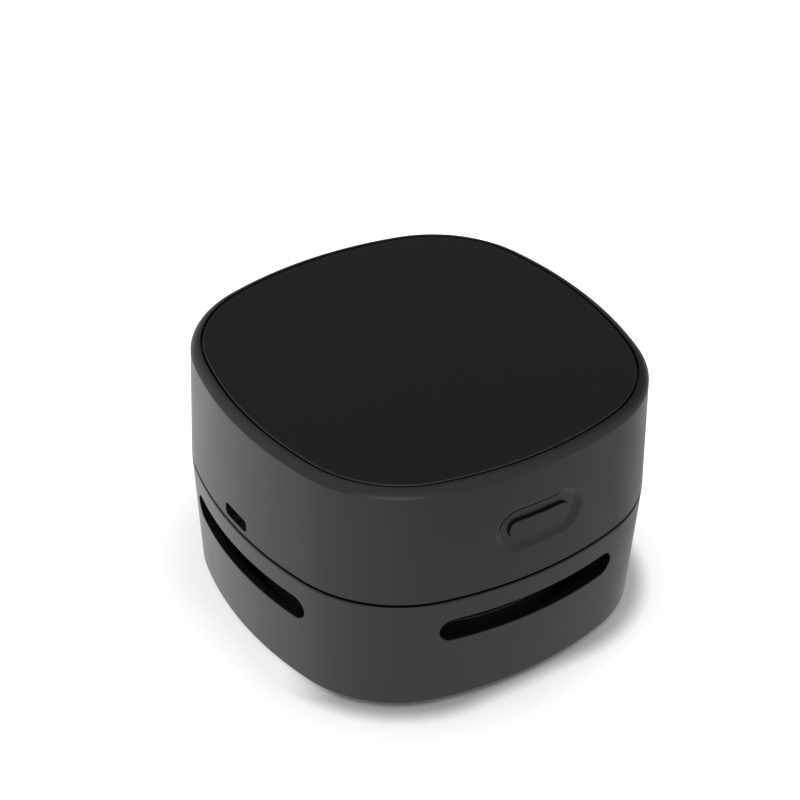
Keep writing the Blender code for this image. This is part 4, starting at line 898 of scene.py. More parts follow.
@dataclass
class Fastener:
    """Slotted self-tapping screw that points up, with its head below its origin."""

    head_radius: float = 2.0 * MM
    head_thick: float = 1.0 * MM
    radius: float = 1.0 * MM
    core: float = 0.82 * MM
    pitch: float = 0.55 * MM
    slot_width: float = 0.5 * MM
    slot_depth: float = 0.4 * MM

    def mesh(self, shank: float) -> bpy.types.Mesh:
        """The screw with a shank of a given length."""
        low = -self.head_thick
        crown = [(0.0, low), (self.head_radius * 0.62, low + 0.04 * MM),
                 (self.head_radius * 0.93, low + 0.30 * MM), (self.head_radius, low + 0.55 * MM),
                 (self.head_radius, -0.1 * MM), (self.head_radius - 0.1 * MM, 0.0),
                 (self.core, 0.0)]
        path = crown
        z = self.pitch * 0.5
        while z < shank - 2 * self.pitch:
            path += [(self.core, z), (self.radius, z + self.pitch * 0.4),
                     (self.core, z + self.pitch * 0.8)]
            z += self.pitch
        path += [(self.core, shank - 1.6 * self.pitch), (0.12 * MM, shank), (0.0, shank)]
        screw = Form("screw").turn(path, False, 32)
        half = self.slot_width / 2
        tool = Form("slot").block((-2 * self.head_radius, -half, low - MM),
                                  (2 * self.head_radius, half, low + self.slot_depth))
        return carve(screw, [tool])


SMALL_HEAD = 0.8 * MM


@dataclass
class UpperShell:
    """Motor unit's outer shell with its rim, dish, button hole, port and bosses."""

    bottom: float = 27.90 * MM
    crease: float = 52.77 * MM
    top: float = 54.31 * MM
    recess: float = 52.81 * MM
    web: float = 51.31 * MM
    wall: float = 1.8 * MM
    draft: float = 0.68 * MM
    rim: float = 2.06 * MM
    rim_bend: float = 52.0
    dish: tuple[float, float, float] = (20.0 * MM, 10.3 * MM, 0.72 * MM)
    slope: float = 1.35 * MM
    button_z: float = 40.05 * MM
    hole: tuple[float, float] = (14.0 * MM, 4.1 * MM)
    port_z: float = 30.37 * MM
    port: tuple[float, float, float] = (7.9 * MM, 2.7 * MM, 0.9 * MM)
    boss_radius: float = 3.0 * MM
    boss_bore: float = 1.1 * MM
    boss_inset: float = 7.7 * MM
    boss_low: float = 26.3 * MM

    def inset(self, z: float) -> float:
        """Inset of the wall's outer face at a height."""
        return self.draft * (z - self.bottom) / (self.crease - self.bottom)

    def dish_depth(self, across: float, z: float) -> float:
        """Depth of the dish at a place on the front, with its sloping side."""
        length, height, depth = self.dish
        radius = height / 2
        beyond = max(0.0, abs(across) - (length / 2 - radius))
        inside = radius - math.hypot(beyond, z - self.button_z)
        share = min(1.0, max(0.0, inside / self.slope))
        eased = share * share * (3.0 - 2.0 * share)
        return depth * (0.75 * share + 0.25 * eased)

    def path(self) -> Path:
        """Insets and heights from the recess over the rim and down, then up inside."""
        corner = self.draft + self.rim - 0.05 * MM
        height = self.top - self.crease
        half = math.radians(self.rim_bend) / 2
        bend = math.hypot(height, self.rim) / (2 * math.sin(half))
        steep = math.atan2(height, self.rim) + half
        arc = []
        for step in range(1, 17):
            slope = steep - 2 * half * (1 - step / 17)
            arc.append((self.draft + bend * (math.sin(steep) - math.sin(slope)),
                        self.crease + bend * (math.cos(slope) - math.cos(steep))))
        path = [(corner, self.recess), (corner, self.top), *arc, (self.draft, self.crease),
                (self.inset(self.crease - 2 * MM), self.crease - 2 * MM)]
        return eased(path, {1: 0.10, len(path) - 2: 0.35})[:-1]

    def rows(self) -> Path:
        """Insets and heights down the outer wall, close together round the dish."""
        low = self.button_z - self.dish[1] / 2 - 0.4 * MM
        high = self.button_z + self.dish[1] / 2 + 0.4 * MM
        heights = []
        for first, last, step in ((self.crease - 0.3 * MM, high, 1.2), (high, low, 0.2),
                                  (low, self.bottom + 0.3 * MM, 1.2)):
            count = math.ceil((first - last) / (step * MM))
            heights += [first + (last - first) * number / count for number in range(1, count + 1)]
        return [(self.inset(z), z) for z in heights]

    def build(self) -> None:
        """Make the shell."""
        columns = OUTLINE.columns(0.9 * MM, 10.6 * MM, 0.2 * MM)
        edge = eased([(0.0, self.bottom + MM), (0.0, self.bottom), (self.wall, self.bottom)],
                     {1: 0.22}, 4)[1:-1]
        inner = [(self.wall, self.bottom), (self.inset(self.web) + self.wall, self.web)]
        outer = self.path() + self.rows()
        rings = []
        for inset, z in outer:
            ring = []
            for column in columns:
                point = column.at(inset, z)
                if point.y < 0.0 and abs(point.x) < self.dish[0] / 2:
                    point = column.at(inset + self.dish_depth(point.x, z), z)
                ring.append(point)
            rings.append(ring)
        rest = paced([edge[-1], *inner], 3.0 * MM)
        rings += [[column.at(*spot) for column in columns] for spot in edge[:-1] + rest]
        shell = Form("upper_shell_finished").skin(rings)

        def socket(growth: float) -> Path:
            """Section of the port."""
            width, height, corner = self.port
            return rounded_box(width + 2 * growth, height + 2 * growth, corner + growth, 8)

        depth = self.dish[2]
        chamfer = 0.06 * MM
        tools = [
            Form("hole").bore(Side.FRONT, stadium_section(*self.hole), self.button_z,
                              [(-MM, chamfer), (depth - 0.02 * MM, chamfer),
                               (depth + chamfer, 0.0), (self.wall + MM, 0.0)], self.inset),
            Form("port").bore(Side.LEFT, socket, self.port_z,
                              [(-MM, MM + chamfer), (chamfer, 0.0), (self.wall + MM, 0.0)],
                              self.inset),
        ]
        mesh = carve(shell, tools)
        posts = Form("bosses")
        high = self.web + 0.2 * MM
        loop = [(self.boss_bore, self.boss_low), (self.boss_radius, self.boss_low),
                (self.boss_radius, high), (self.boss_bore, high)]
        loop = eased(loop, {0: 0.2, 1: 0.2}, 3)
        for spot in OUTLINE.corners(OUTLINE.diagonal(self.boss_inset)):
            posts.turn(loop, True, 40, spot)
        mesh = joined(mesh, posts.mesh())
        settle("upper_shell_finished", mesh, "shell_plastic", Body.UNIT, "upper_shell")


def joined(*meshes: bpy.types.Mesh) -> bpy.types.Mesh:
    """Several meshes as one."""
    work = bmesh.new()
    for mesh in meshes:
        work.from_mesh(mesh)
    made = meshes[0].copy()
    work.to_mesh(made)
    work.free()
    return made


@dataclass
class TopPanel:
    """Flat panel that lies flush in the rim."""

    inset: float = 3.12 * MM
    bottom: float = 53.11 * MM
    top: float = 54.31 * MM
    edge: float = 0.32 * MM

    def build(self) -> None:
        """Make the panel."""
        path = [(self.inset + 6 * MM, self.bottom), (self.inset, self.bottom),
                (self.inset, self.top), (self.inset + 6 * MM, self.top)]
        path = paced(soften(path, {1: 0.1 * MM, 2: self.edge}, 6), 3.0 * MM)
        panel = Form("panel").wrap(OUTLINE.columns(0.9 * MM), path)
        settle("top_panel_finished", panel.mesh(), "panel_plastic", Body.UNIT, "top_panel")


@dataclass
class PowerButton:
    """Stadium button whose face follows the wall, with its flange and stem."""

    length: float = 13.8 * MM
    height: float = 3.88 * MM
    sink: float = 0.04 * MM
    edge: float = 0.12 * MM
    z: float = 40.05 * MM
    stem_z: float = 40.65 * MM
    flange: float = 1.5 * MM
    flange_thick: float = 1.0 * MM
    stem_radius: float = 1.6 * MM
    stem: float = 0.8 * MM
    gap: float = 0.3 * MM

    def flange_y(self) -> float:
        """Where the flange's outer face stands behind the wall."""
        shell = UpperShell()
        low = shell.inset(self.z) + shell.wall
        rise = shell.draft * (self.height / 2 + self.flange) / (shell.crease - shell.bottom)
        return self.gap - OUTLINE.reach(self.length / 2 + self.flange, low + rise)

    def build(self) -> None:
        """Make the button."""
        shell = UpperShell()
        back = self.flange_y()

        def ring(shy: float, depth: float) -> list[Vector]:
            """Loop of the cap, inside its edge by shy and behind its face by depth."""
            loop = stadium(self.length - 2 * shy, self.height - 2 * shy, 24)
            return [OUTLINE.on_side(Side.FRONT, across, self.z + rise,
                                    shell.inset(self.z + rise) + self.sink + depth)
                    for across, rise in loop]

        straight = [Vector((across, back + self.flange_thick / 2, self.z + rise))
                    for across, rise in stadium(self.length, self.height, 24)]
        rings = [straight, ring(0.0, 0.7 * MM), ring(0.0, self.edge + 0.05 * MM)]
        for step in range(6):
            angle = math.pi / 2 * step / 5
            rings.append(ring(self.edge * (1 - math.cos(angle)), self.edge * (1 - math.sin(angle))))
        for share in (0.15, 0.35, 0.6, 0.85):
            rings.append(ring(share * self.height / 2, 0.0))
        button = Form("button").skin(rings)
        loop = stadium(self.length + 2 * self.flange, self.height + 2 * self.flange, 24)
        plate = [[Vector((across, back + depth, self.z + rise)) for across, rise in loop]
                 for depth in (0.0, self.flange_thick)]
        button.skin(plate)
        end = back + self.flange_thick + self.stem
        stem = Form("stem").rod(self.stem_radius, 0.0, self.stem + self.flange_thick / 2,
                                edge=0.1 * MM).moved(lying("X", 0.0, end, self.stem_z))
        mesh = joined(button.mesh(), stem.mesh())
        settle("power_button_finished", mesh, "shell_plastic", Body.BUTTON, "power_button")


@dataclass
class LowerShell:
    """Dust bin's outer shell with its raised floor, legs and exhaust slots."""

    edge_z: float = 1.0 * MM
    top: float = 27.24 * MM
    draft: float = 1.43 * MM
    wall: float = 1.8 * MM
    floor_low: float = 5.0 * MM
    floor_top: float = 6.5 * MM
    slot: tuple[float, float] = (41.0 * MM, 5.5 * MM)
    slot_z: float = 19.5 * MM
    leg_radius: float = 3.8 * MM
    leg_inset: float = 8.2 * MM
    leg_low: float = 1.6 * MM
    inlet: float = 7.3 * MM
    pilot: float = 1.1 * MM
    pilot_place: float = 24.6 * MM

    def inset(self, z: float) -> float:
        """Inset of the wall's outer face at a height."""
        return self.draft * (self.top - z) / (self.top - self.edge_z)

    def path(self) -> Path:
        """Insets and heights from under the floor round the wall to the floor's top."""
        path = [(self.inset(self.floor_low) + self.wall, self.floor_low),
                (self.draft + self.wall, self.edge_z), (self.draft, self.edge_z),
                (0.0, self.top), (self.wall, self.top),
                (self.inset(self.floor_top) + self.wall, self.floor_top)]
        path.insert(0, (path[0][0] + 5 * MM, self.floor_low))
        path.append((path[-1][0] + 5 * MM, self.floor_top))
        return paced(eased(path, {1: 0.4, 2: 0.2, 3: 0.5, 4: 0.32, 5: 0.2, 6: 0.4}), 1.6 * MM)

    def build(self) -> None:
        """Make the shell."""
        shell = Form("lower_shell_finished").wrap(OUTLINE.columns(0.9 * MM), self.path())
        chamfer = 0.12 * MM
        stages = [(-MM, MM + chamfer), (chamfer, 0.0), (self.wall + MM, 0.0)]
        slots = Form("slots")
        for side in Side:
            slots.bore(side, stadium_section(*self.slot), self.slot_z, stages, self.inset)
        low, high = self.floor_low - MM, self.floor_top + MM
        holes = Form("holes").rod(self.inlet, low, high, None, 96)
        holes.rods(OUTLINE.corners(self.pilot_place), self.pilot, low, high)
        mesh = carve(shell, [slots, holes])
        spots = OUTLINE.corners(OUTLINE.diagonal(self.leg_inset))
        legs = Form("legs").rods(spots, self.leg_radius, self.leg_low,
                                 self.floor_top - 0.5 * MM, 48, 0.2 * MM)
        mesh = joined(mesh, legs.mesh())
        settle("lower_shell_finished", mesh, "shell_plastic", Body.BIN, "lower_shell")


@dataclass
class Underside:
    """Feet, brush ring, bristles and screws under the bin."""

    foot_radius: float = 3.2 * MM
    foot_thick: float = 1.3 * MM
    ring_inner: float = 21.5 * MM
    ring_outer: float = 27.7 * MM
    ring_low: float = 3.2 * MM
    ring_high: float = 4.7 * MM
    groove: float = 1.3 * MM
    groove_top: float = 4.0 * MM
    middle: float = 24.6 * MM
    bristle_low: float = 0.3 * MM
    bristle: float = 0.085 * MM
    bristles_in_tuft: int = 9
    tufts: int = 30
    rows: int = 3
    row_spacing: float = 0.62 * MM
    tuft_radius: float = 0.27 * MM
    arc: float = 63.0
    screw_z: float = 2.9 * MM
    shank: float = 3.5 * MM
    screw_hole: float = 1.3 * MM

    def build(self) -> None:
        """Make every piece under the bin."""
        self.feet()
        self.brush_ring()
        self.bristles()
        template = Fastener().mesh(self.shank)
        mesh = RING.mesh(template, 4, "steel", self.middle, self.screw_z, 45.0)
        settle("brush_screws_finished", mesh, "steel", Body.BIN, *numbered("brush_screw"))

    def feet(self) -> None:
        """Make the four rubber feet."""
        path = [(0.0, 0.0), (self.foot_radius, 0.0), (self.foot_radius, self.foot_thick),
                (0.0, self.foot_thick)]
        foot = Form("foot").turn(paced(eased(path, {1: 0.35, 2: 0.1}), MM), False, 48)
        mesh = RING.mesh(foot.mesh(), 4, "rubber", OUTLINE.diagonal(LowerShell.leg_inset),
                         0.0, 45.0)
        settle("rubber_feet_finished", mesh, "rubber", Body.BIN, *numbered("rubber_foot"))

    def brush_ring(self) -> None:
        """Make the ring that holds the bristles."""
        loop = [(self.ring_inner, self.ring_high), (self.ring_outer, self.ring_high),
                (self.ring_outer, self.ring_low), (self.middle + self.groove, self.ring_low),
                (self.middle + self.groove, self.groove_top),
                (self.middle - self.groove, self.groove_top),
                (self.middle - self.groove, self.ring_low), (self.ring_inner, self.ring_low)]
        rounds = {0: 0.15, 1: 0.15, 2: 0.4, 3: 0.15, 6: 0.15, 7: 0.4}
        ring = Form("ring").turn(paced(eased(loop, rounds, 4), MM, True), True, 160)
        holes = Form("holes").rods(OUTLINE.corners(self.middle), self.screw_hole,
                                   self.ring_low - MM, self.ring_high + MM)
        mesh = carve(ring, [holes])
        settle("brush_ring_finished", mesh, "inner_plastic", Body.BIN, "brush_ring")

    def bristles(self) -> None:
        """Make the four strips of bristles."""
        length = self.groove_top - self.bristle_low - 0.1 * MM
        thick = self.bristle
        path = [(thick, 0.0), (thick, -0.6 * length), (0.85 * thick, -0.9 * length),
                (0.35 * thick, -length)]
        hair = Form("hair").turn(path, False, 5).mesh()
        for number, side in enumerate(("right", "back", "left", "front")):
            values = {"Bristles": self.bristles_in_tuft, "Tufts": self.tufts,
                      "Rows": self.rows, "Radius": self.middle, "Spacing": self.row_spacing,
                      "Arc": math.radians(self.arc), "Bearing": math.radians(90.0 * number),
                      "Height": self.groove_top - 0.05 * MM, "Tuft": self.tuft_radius,
                      "Lean": 0.06, "Seed": 11 + number}
            node = "bristles_" + side
            settle(node + "_finished", STRIP.grow(hair, "bristle", values), "bristle",
                   Body.BIN, node)


@dataclass
class DustCup:
    """Round cup with its inlet, its seal and the filter over it."""

    radius: float = 34.0 * MM
    wall: float = 1.2 * MM
    bottom: float = 6.8 * MM
    rim: float = 12.9 * MM
    inlet: float = 7.0 * MM
    inlet_top: float = 11.4 * MM
    seal: tuple[float, float] = (13.2 * MM, 14.2 * MM)
    filter_z: tuple[float, float] = (14.5 * MM, 16.5 * MM)
    frame_width: float = 5.0 * MM
    rib: tuple[float, float] = (1.6 * MM, 0.8 * MM)
    pleat: float = 1.7 * MM
    sheet: float = 0.22 * MM

    def build(self) -> None:
        """Make the cup, its seal, the filter's frame and its cloth."""
        inner = self.radius - self.wall
        floor = self.bottom + self.wall
        outer = self.inlet + self.wall
        loop = [(inner, self.rim), (self.radius, self.rim), (self.radius, self.bottom),
                (self.inlet, self.bottom), (self.inlet, self.inlet_top), (outer, self.inlet_top),
                (outer, floor), (inner, floor)]
        rounds = {0: 0.3, 1: 0.3, 2: 0.8, 3: 0.5, 4: 0.5, 5: 0.5, 6: 1.0, 7: 1.2}
        cup = Form("cup").turn(paced(eased(loop, rounds), 2.0 * MM, True), True, 160)
        settle("dust_cup_finished", cup.mesh(), "cup_plastic", Body.BIN, "dust_cup")
        ring = ring_loop(self.radius - 1.4 * MM, self.radius, *self.seal, 0.4 * MM, 6)
        seal = Form("seal").turn(ring, True, 160)
        settle("cup_seal_finished", seal.mesh(), "rubber", Body.BIN, "cup_seal")
        self.frame()
        self.cloth()

    def frame(self) -> None:
        """Make the filter's ring and its crossed ribs."""
        low, high = self.filter_z
        inner = self.radius - self.frame_width
        ring = Form("frame").turn(ring_loop(inner, self.radius, low, high, 0.25 * MM), True, 160)
        reach = inner + self.frame_width / 2
        ribs = Form("ribs")
        width, thick = self.rib
        ribs.block((-reach, -width / 2, high - thick), (reach, width / 2, high - 0.01 * MM),
                   0.12 * MM)
        ribs.block((-width / 2, -reach, high - thick), (width / 2, reach, high - 0.01 * MM),
                   0.12 * MM)
        ribs.rod(2.4 * MM, high - thick, high, None, 48, 0.2 * MM)
        mesh = joined(ring.mesh(), ribs.mesh())
        settle("filter_frame_finished", mesh, "inner_plastic", Body.BIN, "filter_frame")

    def cloth(self) -> None:
        """Make the pleated cloth, cut to the frame's opening."""
        low, high = self.filter_z[0] + 0.1 * MM, self.filter_z[1] - self.rib[1] - 0.3 * MM
        reach = self.radius - self.frame_width - 0.1 * MM
        steps = 8
        count = math.ceil(reach / self.pleat)
        xs = [self.pleat * number / steps for number in range(-count * steps, count * steps + 1)]
        rise = (high - low - self.sheet) / 2
        middle = (low + high) / 2
        loop = [(x, middle + rise * math.cos(math.tau * x / self.pleat) + self.sheet / 2)
                for x in xs]
        loop += [(x, z - self.sheet) for x, z in reversed(loop)]
        sheet = Form("sheet").skin([[Vector((x, y, z)) for x, z in loop]
                                    for y in (-self.radius, self.radius)])
        disc = Form("disc").rod(reach, low - MM, high + MM, None, 96)
        mesh = carve(sheet, [disc], Cut.KEEP)
        settle("filter_cloth_finished", mesh, "filter_cloth", Body.BIN, "filter_cloth")


@dataclass
class Fan:
    """Plate with the fan's inlet, and the fan wheel above it."""

    low: float = 16.8 * MM
    high: float = 18.0 * MM
    radius: float = 33.0 * MM
    inlet: float = 9.0 * MM
    post_radius: float = 2.0 * MM
    post_top: float = 23.7 * MM
    wheel: float = 27.0 * MM
    blade_low: float = 18.5 * MM
    plate_low: float = 22.3 * MM
    plate_top: float = 23.5 * MM
    blade_inner: float = 9.5 * MM
    blade_thick: float = 1.0 * MM
    blades: int = 9
    sweep: float = 48.0
    hub: float = 5.5 * MM
    nose: float = 3.4 * MM
    bore: float = 1.1 * MM
    bore_floor: float = 20.9 * MM

    def build(self) -> None:
        """Make the housing and the wheel."""
        loop = [(self.inlet, self.high), (self.radius, self.high), (self.radius, self.low),
                (self.inlet, self.low)]
        loop = paced(eased(loop, {0: 0.5, 1: 0.3, 2: 0.3, 3: 0.5}), 2.0 * MM, True)
        plate = Form("housing").turn(loop, True, 160)
        post = Form("post").rod(self.post_radius, self.high - 0.5 * MM, self.post_top, None, 40,
                                0.15 * MM)
        posts = RING.mesh(post.mesh(), 4, "inner_plastic", self.radius - self.post_radius,
                          0.0, 45.0)
        mesh = joined(plate.mesh(), posts)
        settle("fan_housing_finished", mesh, "inner_plastic", Body.UNIT, "fan_housing")
        path = [(0.0, self.bore_floor), (self.bore, self.bore_floor), (self.bore, self.plate_top),
                (self.wheel, self.plate_top), (self.wheel, self.plate_low),
                (self.hub, self.plate_low), (self.nose, self.blade_low), (0.0, self.blade_low)]
        path = paced(eased(path, {3: 0.3, 4: 0.3, 5: 0.8, 6: 1.2}), 2.0 * MM)
        wheel = Form("wheel").turn(path, False, 128)
        blades = RING.mesh(self.blade(), self.blades, "fan_plastic")
        settle("impeller_finished", joined(wheel.mesh(), blades), "fan_plastic", Body.ROTOR,
               "impeller")

    def blade(self) -> bpy.types.Mesh:
        """One backward-curved blade."""
        steps = 18
        outer = self.wheel - self.blade_thick
        spine = []
        for step in range(steps + 1):
            share = step / steps
            radius = self.blade_inner + (outer - self.blade_inner) * share
            spine.append(turned_to(-self.sweep * share, radius))
        near, far = [], []
        for index, point in enumerate(spine):
            ahead = spine[min(index + 1, steps)] - spine[max(index - 1, 0)]
            share = min(1.0, 0.45 + index / 4, 0.45 + (steps - index) / 4)
            half = self.blade_thick / 2 * share
            across = Vector((-ahead.y, ahead.x, 0.0)).normalized() * half
            near.append(point + across)
            far.append(point - across)
        loop = near + far[::-1]
        rise = Vector((0.0, 0.0, 1.0))
        rings = [[point + rise * z for point in loop]
                 for z in (self.blade_low, self.plate_low + 0.4 * MM)]
        return Form("blade").skin(rings).mesh()


@dataclass
class Tray:
    """Tray that closes the motor unit, with its screws."""

    inset: float = 2.291 * MM
    inner: float = 3.491 * MM
    bottom: float = 24.0 * MM
    top: float = 26.0 * MM
    rim: float = 30.23 * MM
    gap: float = 0.3 * MM
    screw_inset: float = 7.7 * MM
    screw_hole: float = 1.3 * MM
    shank: float = 7.3 * MM
    shaft_hole: float = 3.5 * MM
    sink: float = 2.3 * MM
    sink_deep: float = 1.2 * MM
    notch_half: float = 5.55 * MM
    post_radius: float = 2.2 * MM
    rib_place: float = 7.0 * MM
    rib: tuple[float, float, float] = (3.0 * MM, 1.6 * MM, 6.0 * MM)

    def build(self) -> None:
        """Make the tray and the four screws that hold it."""
        path = [(self.inset + 6 * MM, self.bottom), (self.inset, self.bottom),
                (self.inset, self.rim), (self.inner, self.rim), (self.inner, self.top),
                (self.inner + 6 * MM, self.top)]
        path = paced(eased(path, {1: 0.5, 2: 0.25, 3: 0.25, 4: 0.6}), 2.0 * MM)
        tray = Form("tray").wrap(OUTLINE.columns(0.9 * MM), path)
        low, high = self.bottom - MM, self.top + MM
        aside = [Vector((side * Motor.screw_offset, 0.0, 0.0)) for side in (-1, 1)]
        holes = Form("holes").rod(self.shaft_hole, low, high, None, 64)
        holes.rods(aside, self.sink, low, self.bottom + self.sink_deep, 40)
        sinks = Form("sinks").rods(aside, self.screw_hole, low, high)
        spots = OUTLINE.corners(OUTLINE.diagonal(self.screw_inset))
        holes.rods(spots, self.screw_hole, low, high)
        board_low, board_high = span("charge_board")
        notch = Form("notch").block(
            (-OUTLINE.half_width, -self.notch_half, board_high.z - self.gap),
            (board_low.x, self.notch_half, self.rim + MM))
        mesh = carve(tray, [holes, sinks, notch])
        posts = Form("posts")
        edge = board_high.y - ChargeBoard.screw_inset
        spots = [Vector((board_high.x - ChargeBoard.screw_inset, side * edge, 0.0))
                 for side in (-1, 1)]
        posts.rods(spots, self.post_radius, self.bottom + MM, board_low.z - self.gap, 40,
                   0.1 * MM)
        back = span("switch_board")[1].y + self.gap
        for side in (-1, 1):
            middle, half = side * self.rib_place, self.rib[0] / 2
            posts.block((middle - half, back, self.bottom + MM),
                        (middle + half, back + self.rib[1], self.top + self.rib[2]), 0.1 * MM)
        mesh = joined(mesh, posts.mesh())
        settle("inner_tray_finished", mesh, "inner_plastic", Body.UNIT, "inner_tray")
        screws = RING.mesh(Fastener().mesh(self.shank), 4, "steel",
                           OUTLINE.diagonal(self.screw_inset), self.bottom - self.gap, 45.0)
        settle("tray_screws_finished", screws, "steel", Body.UNIT, *numbered("tray_screw"))


def span(node: str) -> tuple[Vector, Vector]:
    """Lowest and highest corner of a solid at rest."""
    low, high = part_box(node)
    return Vector(low), Vector(high)


@dataclass
class Motor:
    """Brushed motor: can, end cap, bushes, magnets, tabs, screws and its turning core."""

    wall: float = 0.8 * MM
    boss: float = 3.2 * MM
    boss_height: float = 1.0 * MM
    bore: float = 1.1 * MM
    seat: float = 2.4 * MM
    plug: float = 11.1 * MM
    flange: float = 1.5 * MM
    roof: float = 0.9 * MM
    dome: tuple[float, float] = (3.6 * MM, 0.8 * MM)
    tab_gap: float = 0.3 * MM
    tab_hole: tuple[float, float] = (0.5 * MM, 1.1 * MM)
    screw_offset: float = 7.5 * MM
    magnet: tuple[float, float] = (9.5 * MM, 11.1 * MM)
    magnet_arc: float = 132.0
    core_radius: float = 8.9 * MM
    shoe: float = 7.4 * MM
    shoe_half: float = 55.8
    hub: float = 3.0 * MM
    neck: float = 1.7 * MM
    poles: int = 3
    bare: float = 1.1 * MM
    coil: float = 2.2 * MM

    def build(self) -> None:
        """Make every piece of the motor."""
        self.can()
        self.cap()
        self.tabs()
        self.bushes()
        self.magnets()
        low, high = span("motor_screw_1")
        template = Fastener(head_thick=SMALL_HEAD).mesh(high.z - low.z - SMALL_HEAD)
        mesh = RING.mesh(template, 2, "steel", self.screw_offset, low.z + SMALL_HEAD)
        settle("motor_screws_finished", mesh, "steel", Body.UNIT, *numbered("motor_screw", 2))
        self.rotor()

    def can(self) -> None:
        """Make the drawn can with its bearing boss and screw holes."""
        low, high = span("motor_can")
        base, inner = low.z + self.boss_height, high.x - self.wall
        loop = [(inner, high.z), (high.x, high.z), (high.x, base), (self.boss, base),
                (self.boss, low.z), (self.seat, low.z), (self.seat, base + self.wall),
                (inner, base + self.wall)]
        rounds = {0: 0.2, 1: 0.3, 2: 1.3, 3: 0.3, 4: 0.3, 5: 0.1, 7: 0.5}
        can = Form("can").turn(paced(eased(loop, rounds, 6), 3.0 * MM, True), True, 128)
        spots = [Vector((side * self.screw_offset, 0.0, 0.0)) for side in (-1, 1)]
        holes = Form("holes").rods(spots, self.bore, base - MM, base + 2 * MM, 48)
        settle("motor_can_finished", carve(can, [holes]), "steel", Body.UNIT, "motor_can")

    def cap(self) -> None:
        """Make the white cap, its bearing dome and the rooms for the tabs."""
        low, high = span("motor_end_cap")
        roof, flange = high.z - self.roof, high.z - self.flange
        radius, rise = self.dome
        path = [(0.0, high.z + rise), (radius, high.z + rise), (radius + 0.6 * MM, high.z),
                (high.x, high.z),
                (high.x, flange), (self.plug, flange), (self.plug, low.z), (self.seat, low.z),
                (self.seat, roof), (0.0, roof)]
        path = eased(path, {1: 0.4, 2: 0.4, 3: 0.6, 4: 0.2, 6: 0.3, 7: 0.1})
        cap = Form("cap").turn(paced(path, 2.0 * MM), False, 128)
        rooms = Form("rooms")
        gap = Vector((self.tab_gap, self.tab_gap, MM))
        for node in numbered("motor_terminal", 2):
            tab_low, tab_high = span(node)
            rooms.block(tab_low - gap, tab_high + gap)
        settle("motor_end_cap_finished", carve(cap, [rooms]), "fan_plastic", Body.UNIT,
               "motor_end_cap")

    def tabs(self) -> None:
        """Make the two solder tabs, each with its hole."""
        meshes = []
        nodes = numbered("motor_terminal", 2)
        for node in nodes:
            low, high = span(node)
            tab = Form("tab").block(low, high, 0.1 * MM)
            turn = lying("Y", (low.x + high.x) / 2, 0.0, high.z - self.tab_hole[1])
            hole = Form("hole").rod(self.tab_hole[0], -MM, MM, None, 24).moved(turn)
            meshes.append(carve(tab, [hole]))
        settle("motor_tabs_finished", joined(*meshes), "brass", Body.UNIT, *nodes)

    def bushes(self) -> None:
        """Make the two bearing bushes."""
        bushes = Form("bushes")
        for node in ("motor_bush_lower", "motor_bush_upper"):
            low, high = span(node)
            bushes.turn(ring_loop(self.bore, high.x, low.z, high.z, 0.2 * MM), True, 64)
        settle("motor_bushes_finished", bushes.mesh(), "brass", Body.UNIT, "motor_bush_lower",
               "motor_bush_upper")

    def magnets(self) -> None:
        """Make the two curved magnets."""
        magnets = Form("magnets")
        low, high = span("motor_magnet_1")
        inner, outer = self.magnet
        shy = 0.25 * MM
        for middle in (-90.0, 90.0):
            rings = []
            for z, trim in ((low.z, shy), (low.z + shy, 0.0), (high.z - shy, 0.0), (high.z, shy)):
                half = self.magnet_arc / 2 - math.degrees(trim / outer)
                marks = [middle + half * (step / 16 - 1.0) for step in range(33)]
                ring = [turned_to(mark, outer - trim, z) for mark in marks]
                ring += [turned_to(mark, inner + trim, z) for mark in reversed(marks)]
                rings.append(ring)
            magnets.skin(rings)
        settle("motor_magnets_finished", magnets.mesh(), "magnet", Body.UNIT,
               *numbered("motor_magnet", 2))

    def rotor(self) -> None:
        """Make the shaft, the core with its coils, and the commutator."""
        low, high = span("motor_shaft")
        shaft = Form("shaft").rod(high.x, low.z, high.z, None, 48, 0.2 * MM)
        settle("motor_shaft_finished", shaft.mesh(), "steel", Body.ROTOR, "motor_shaft")
        low, high = span("motor_armature")
        stack = Form("core").skin([self.pole_outline(z) for z in
                                   (low.z + self.bare, high.z - self.bare)])
        settle("motor_core_finished", stack.mesh(), "steel", Body.ROTOR, "motor_armature")
        reach = self.neck + self.coil
        coil = Form("coil").block((self.hub + 0.6 * MM, -reach, low.z),
                                  (self.shoe - 0.3 * MM, reach, high.z), 0.9 * MM)
        mesh = RING.mesh(coil.mesh(), self.poles, "winding", first=60.0)
        settle("motor_coils_finished", mesh, "winding", Body.ROTOR, sharp=60.0)
        low, high = span("motor_commutator")
        drum = Form("drum").turn(ring_loop(self.bore, high.x, low.z, high.z, 0.15 * MM), True, 96)
        cuts = []
        for number in range(self.poles):
            turn = Matrix.Rotation(math.tau * number / self.poles, 4, "Z")
            gap = Form("gap").block((self.bore + 0.5 * MM, -0.15 * MM, low.z - MM),
                                    (high.x + 1.2 * MM, 0.15 * MM, high.z + MM))
            cuts.append(gap.moved(turn))
        settle("motor_commutator_finished", carve(drum, cuts), "brass", Body.ROTOR,
               "motor_commutator")

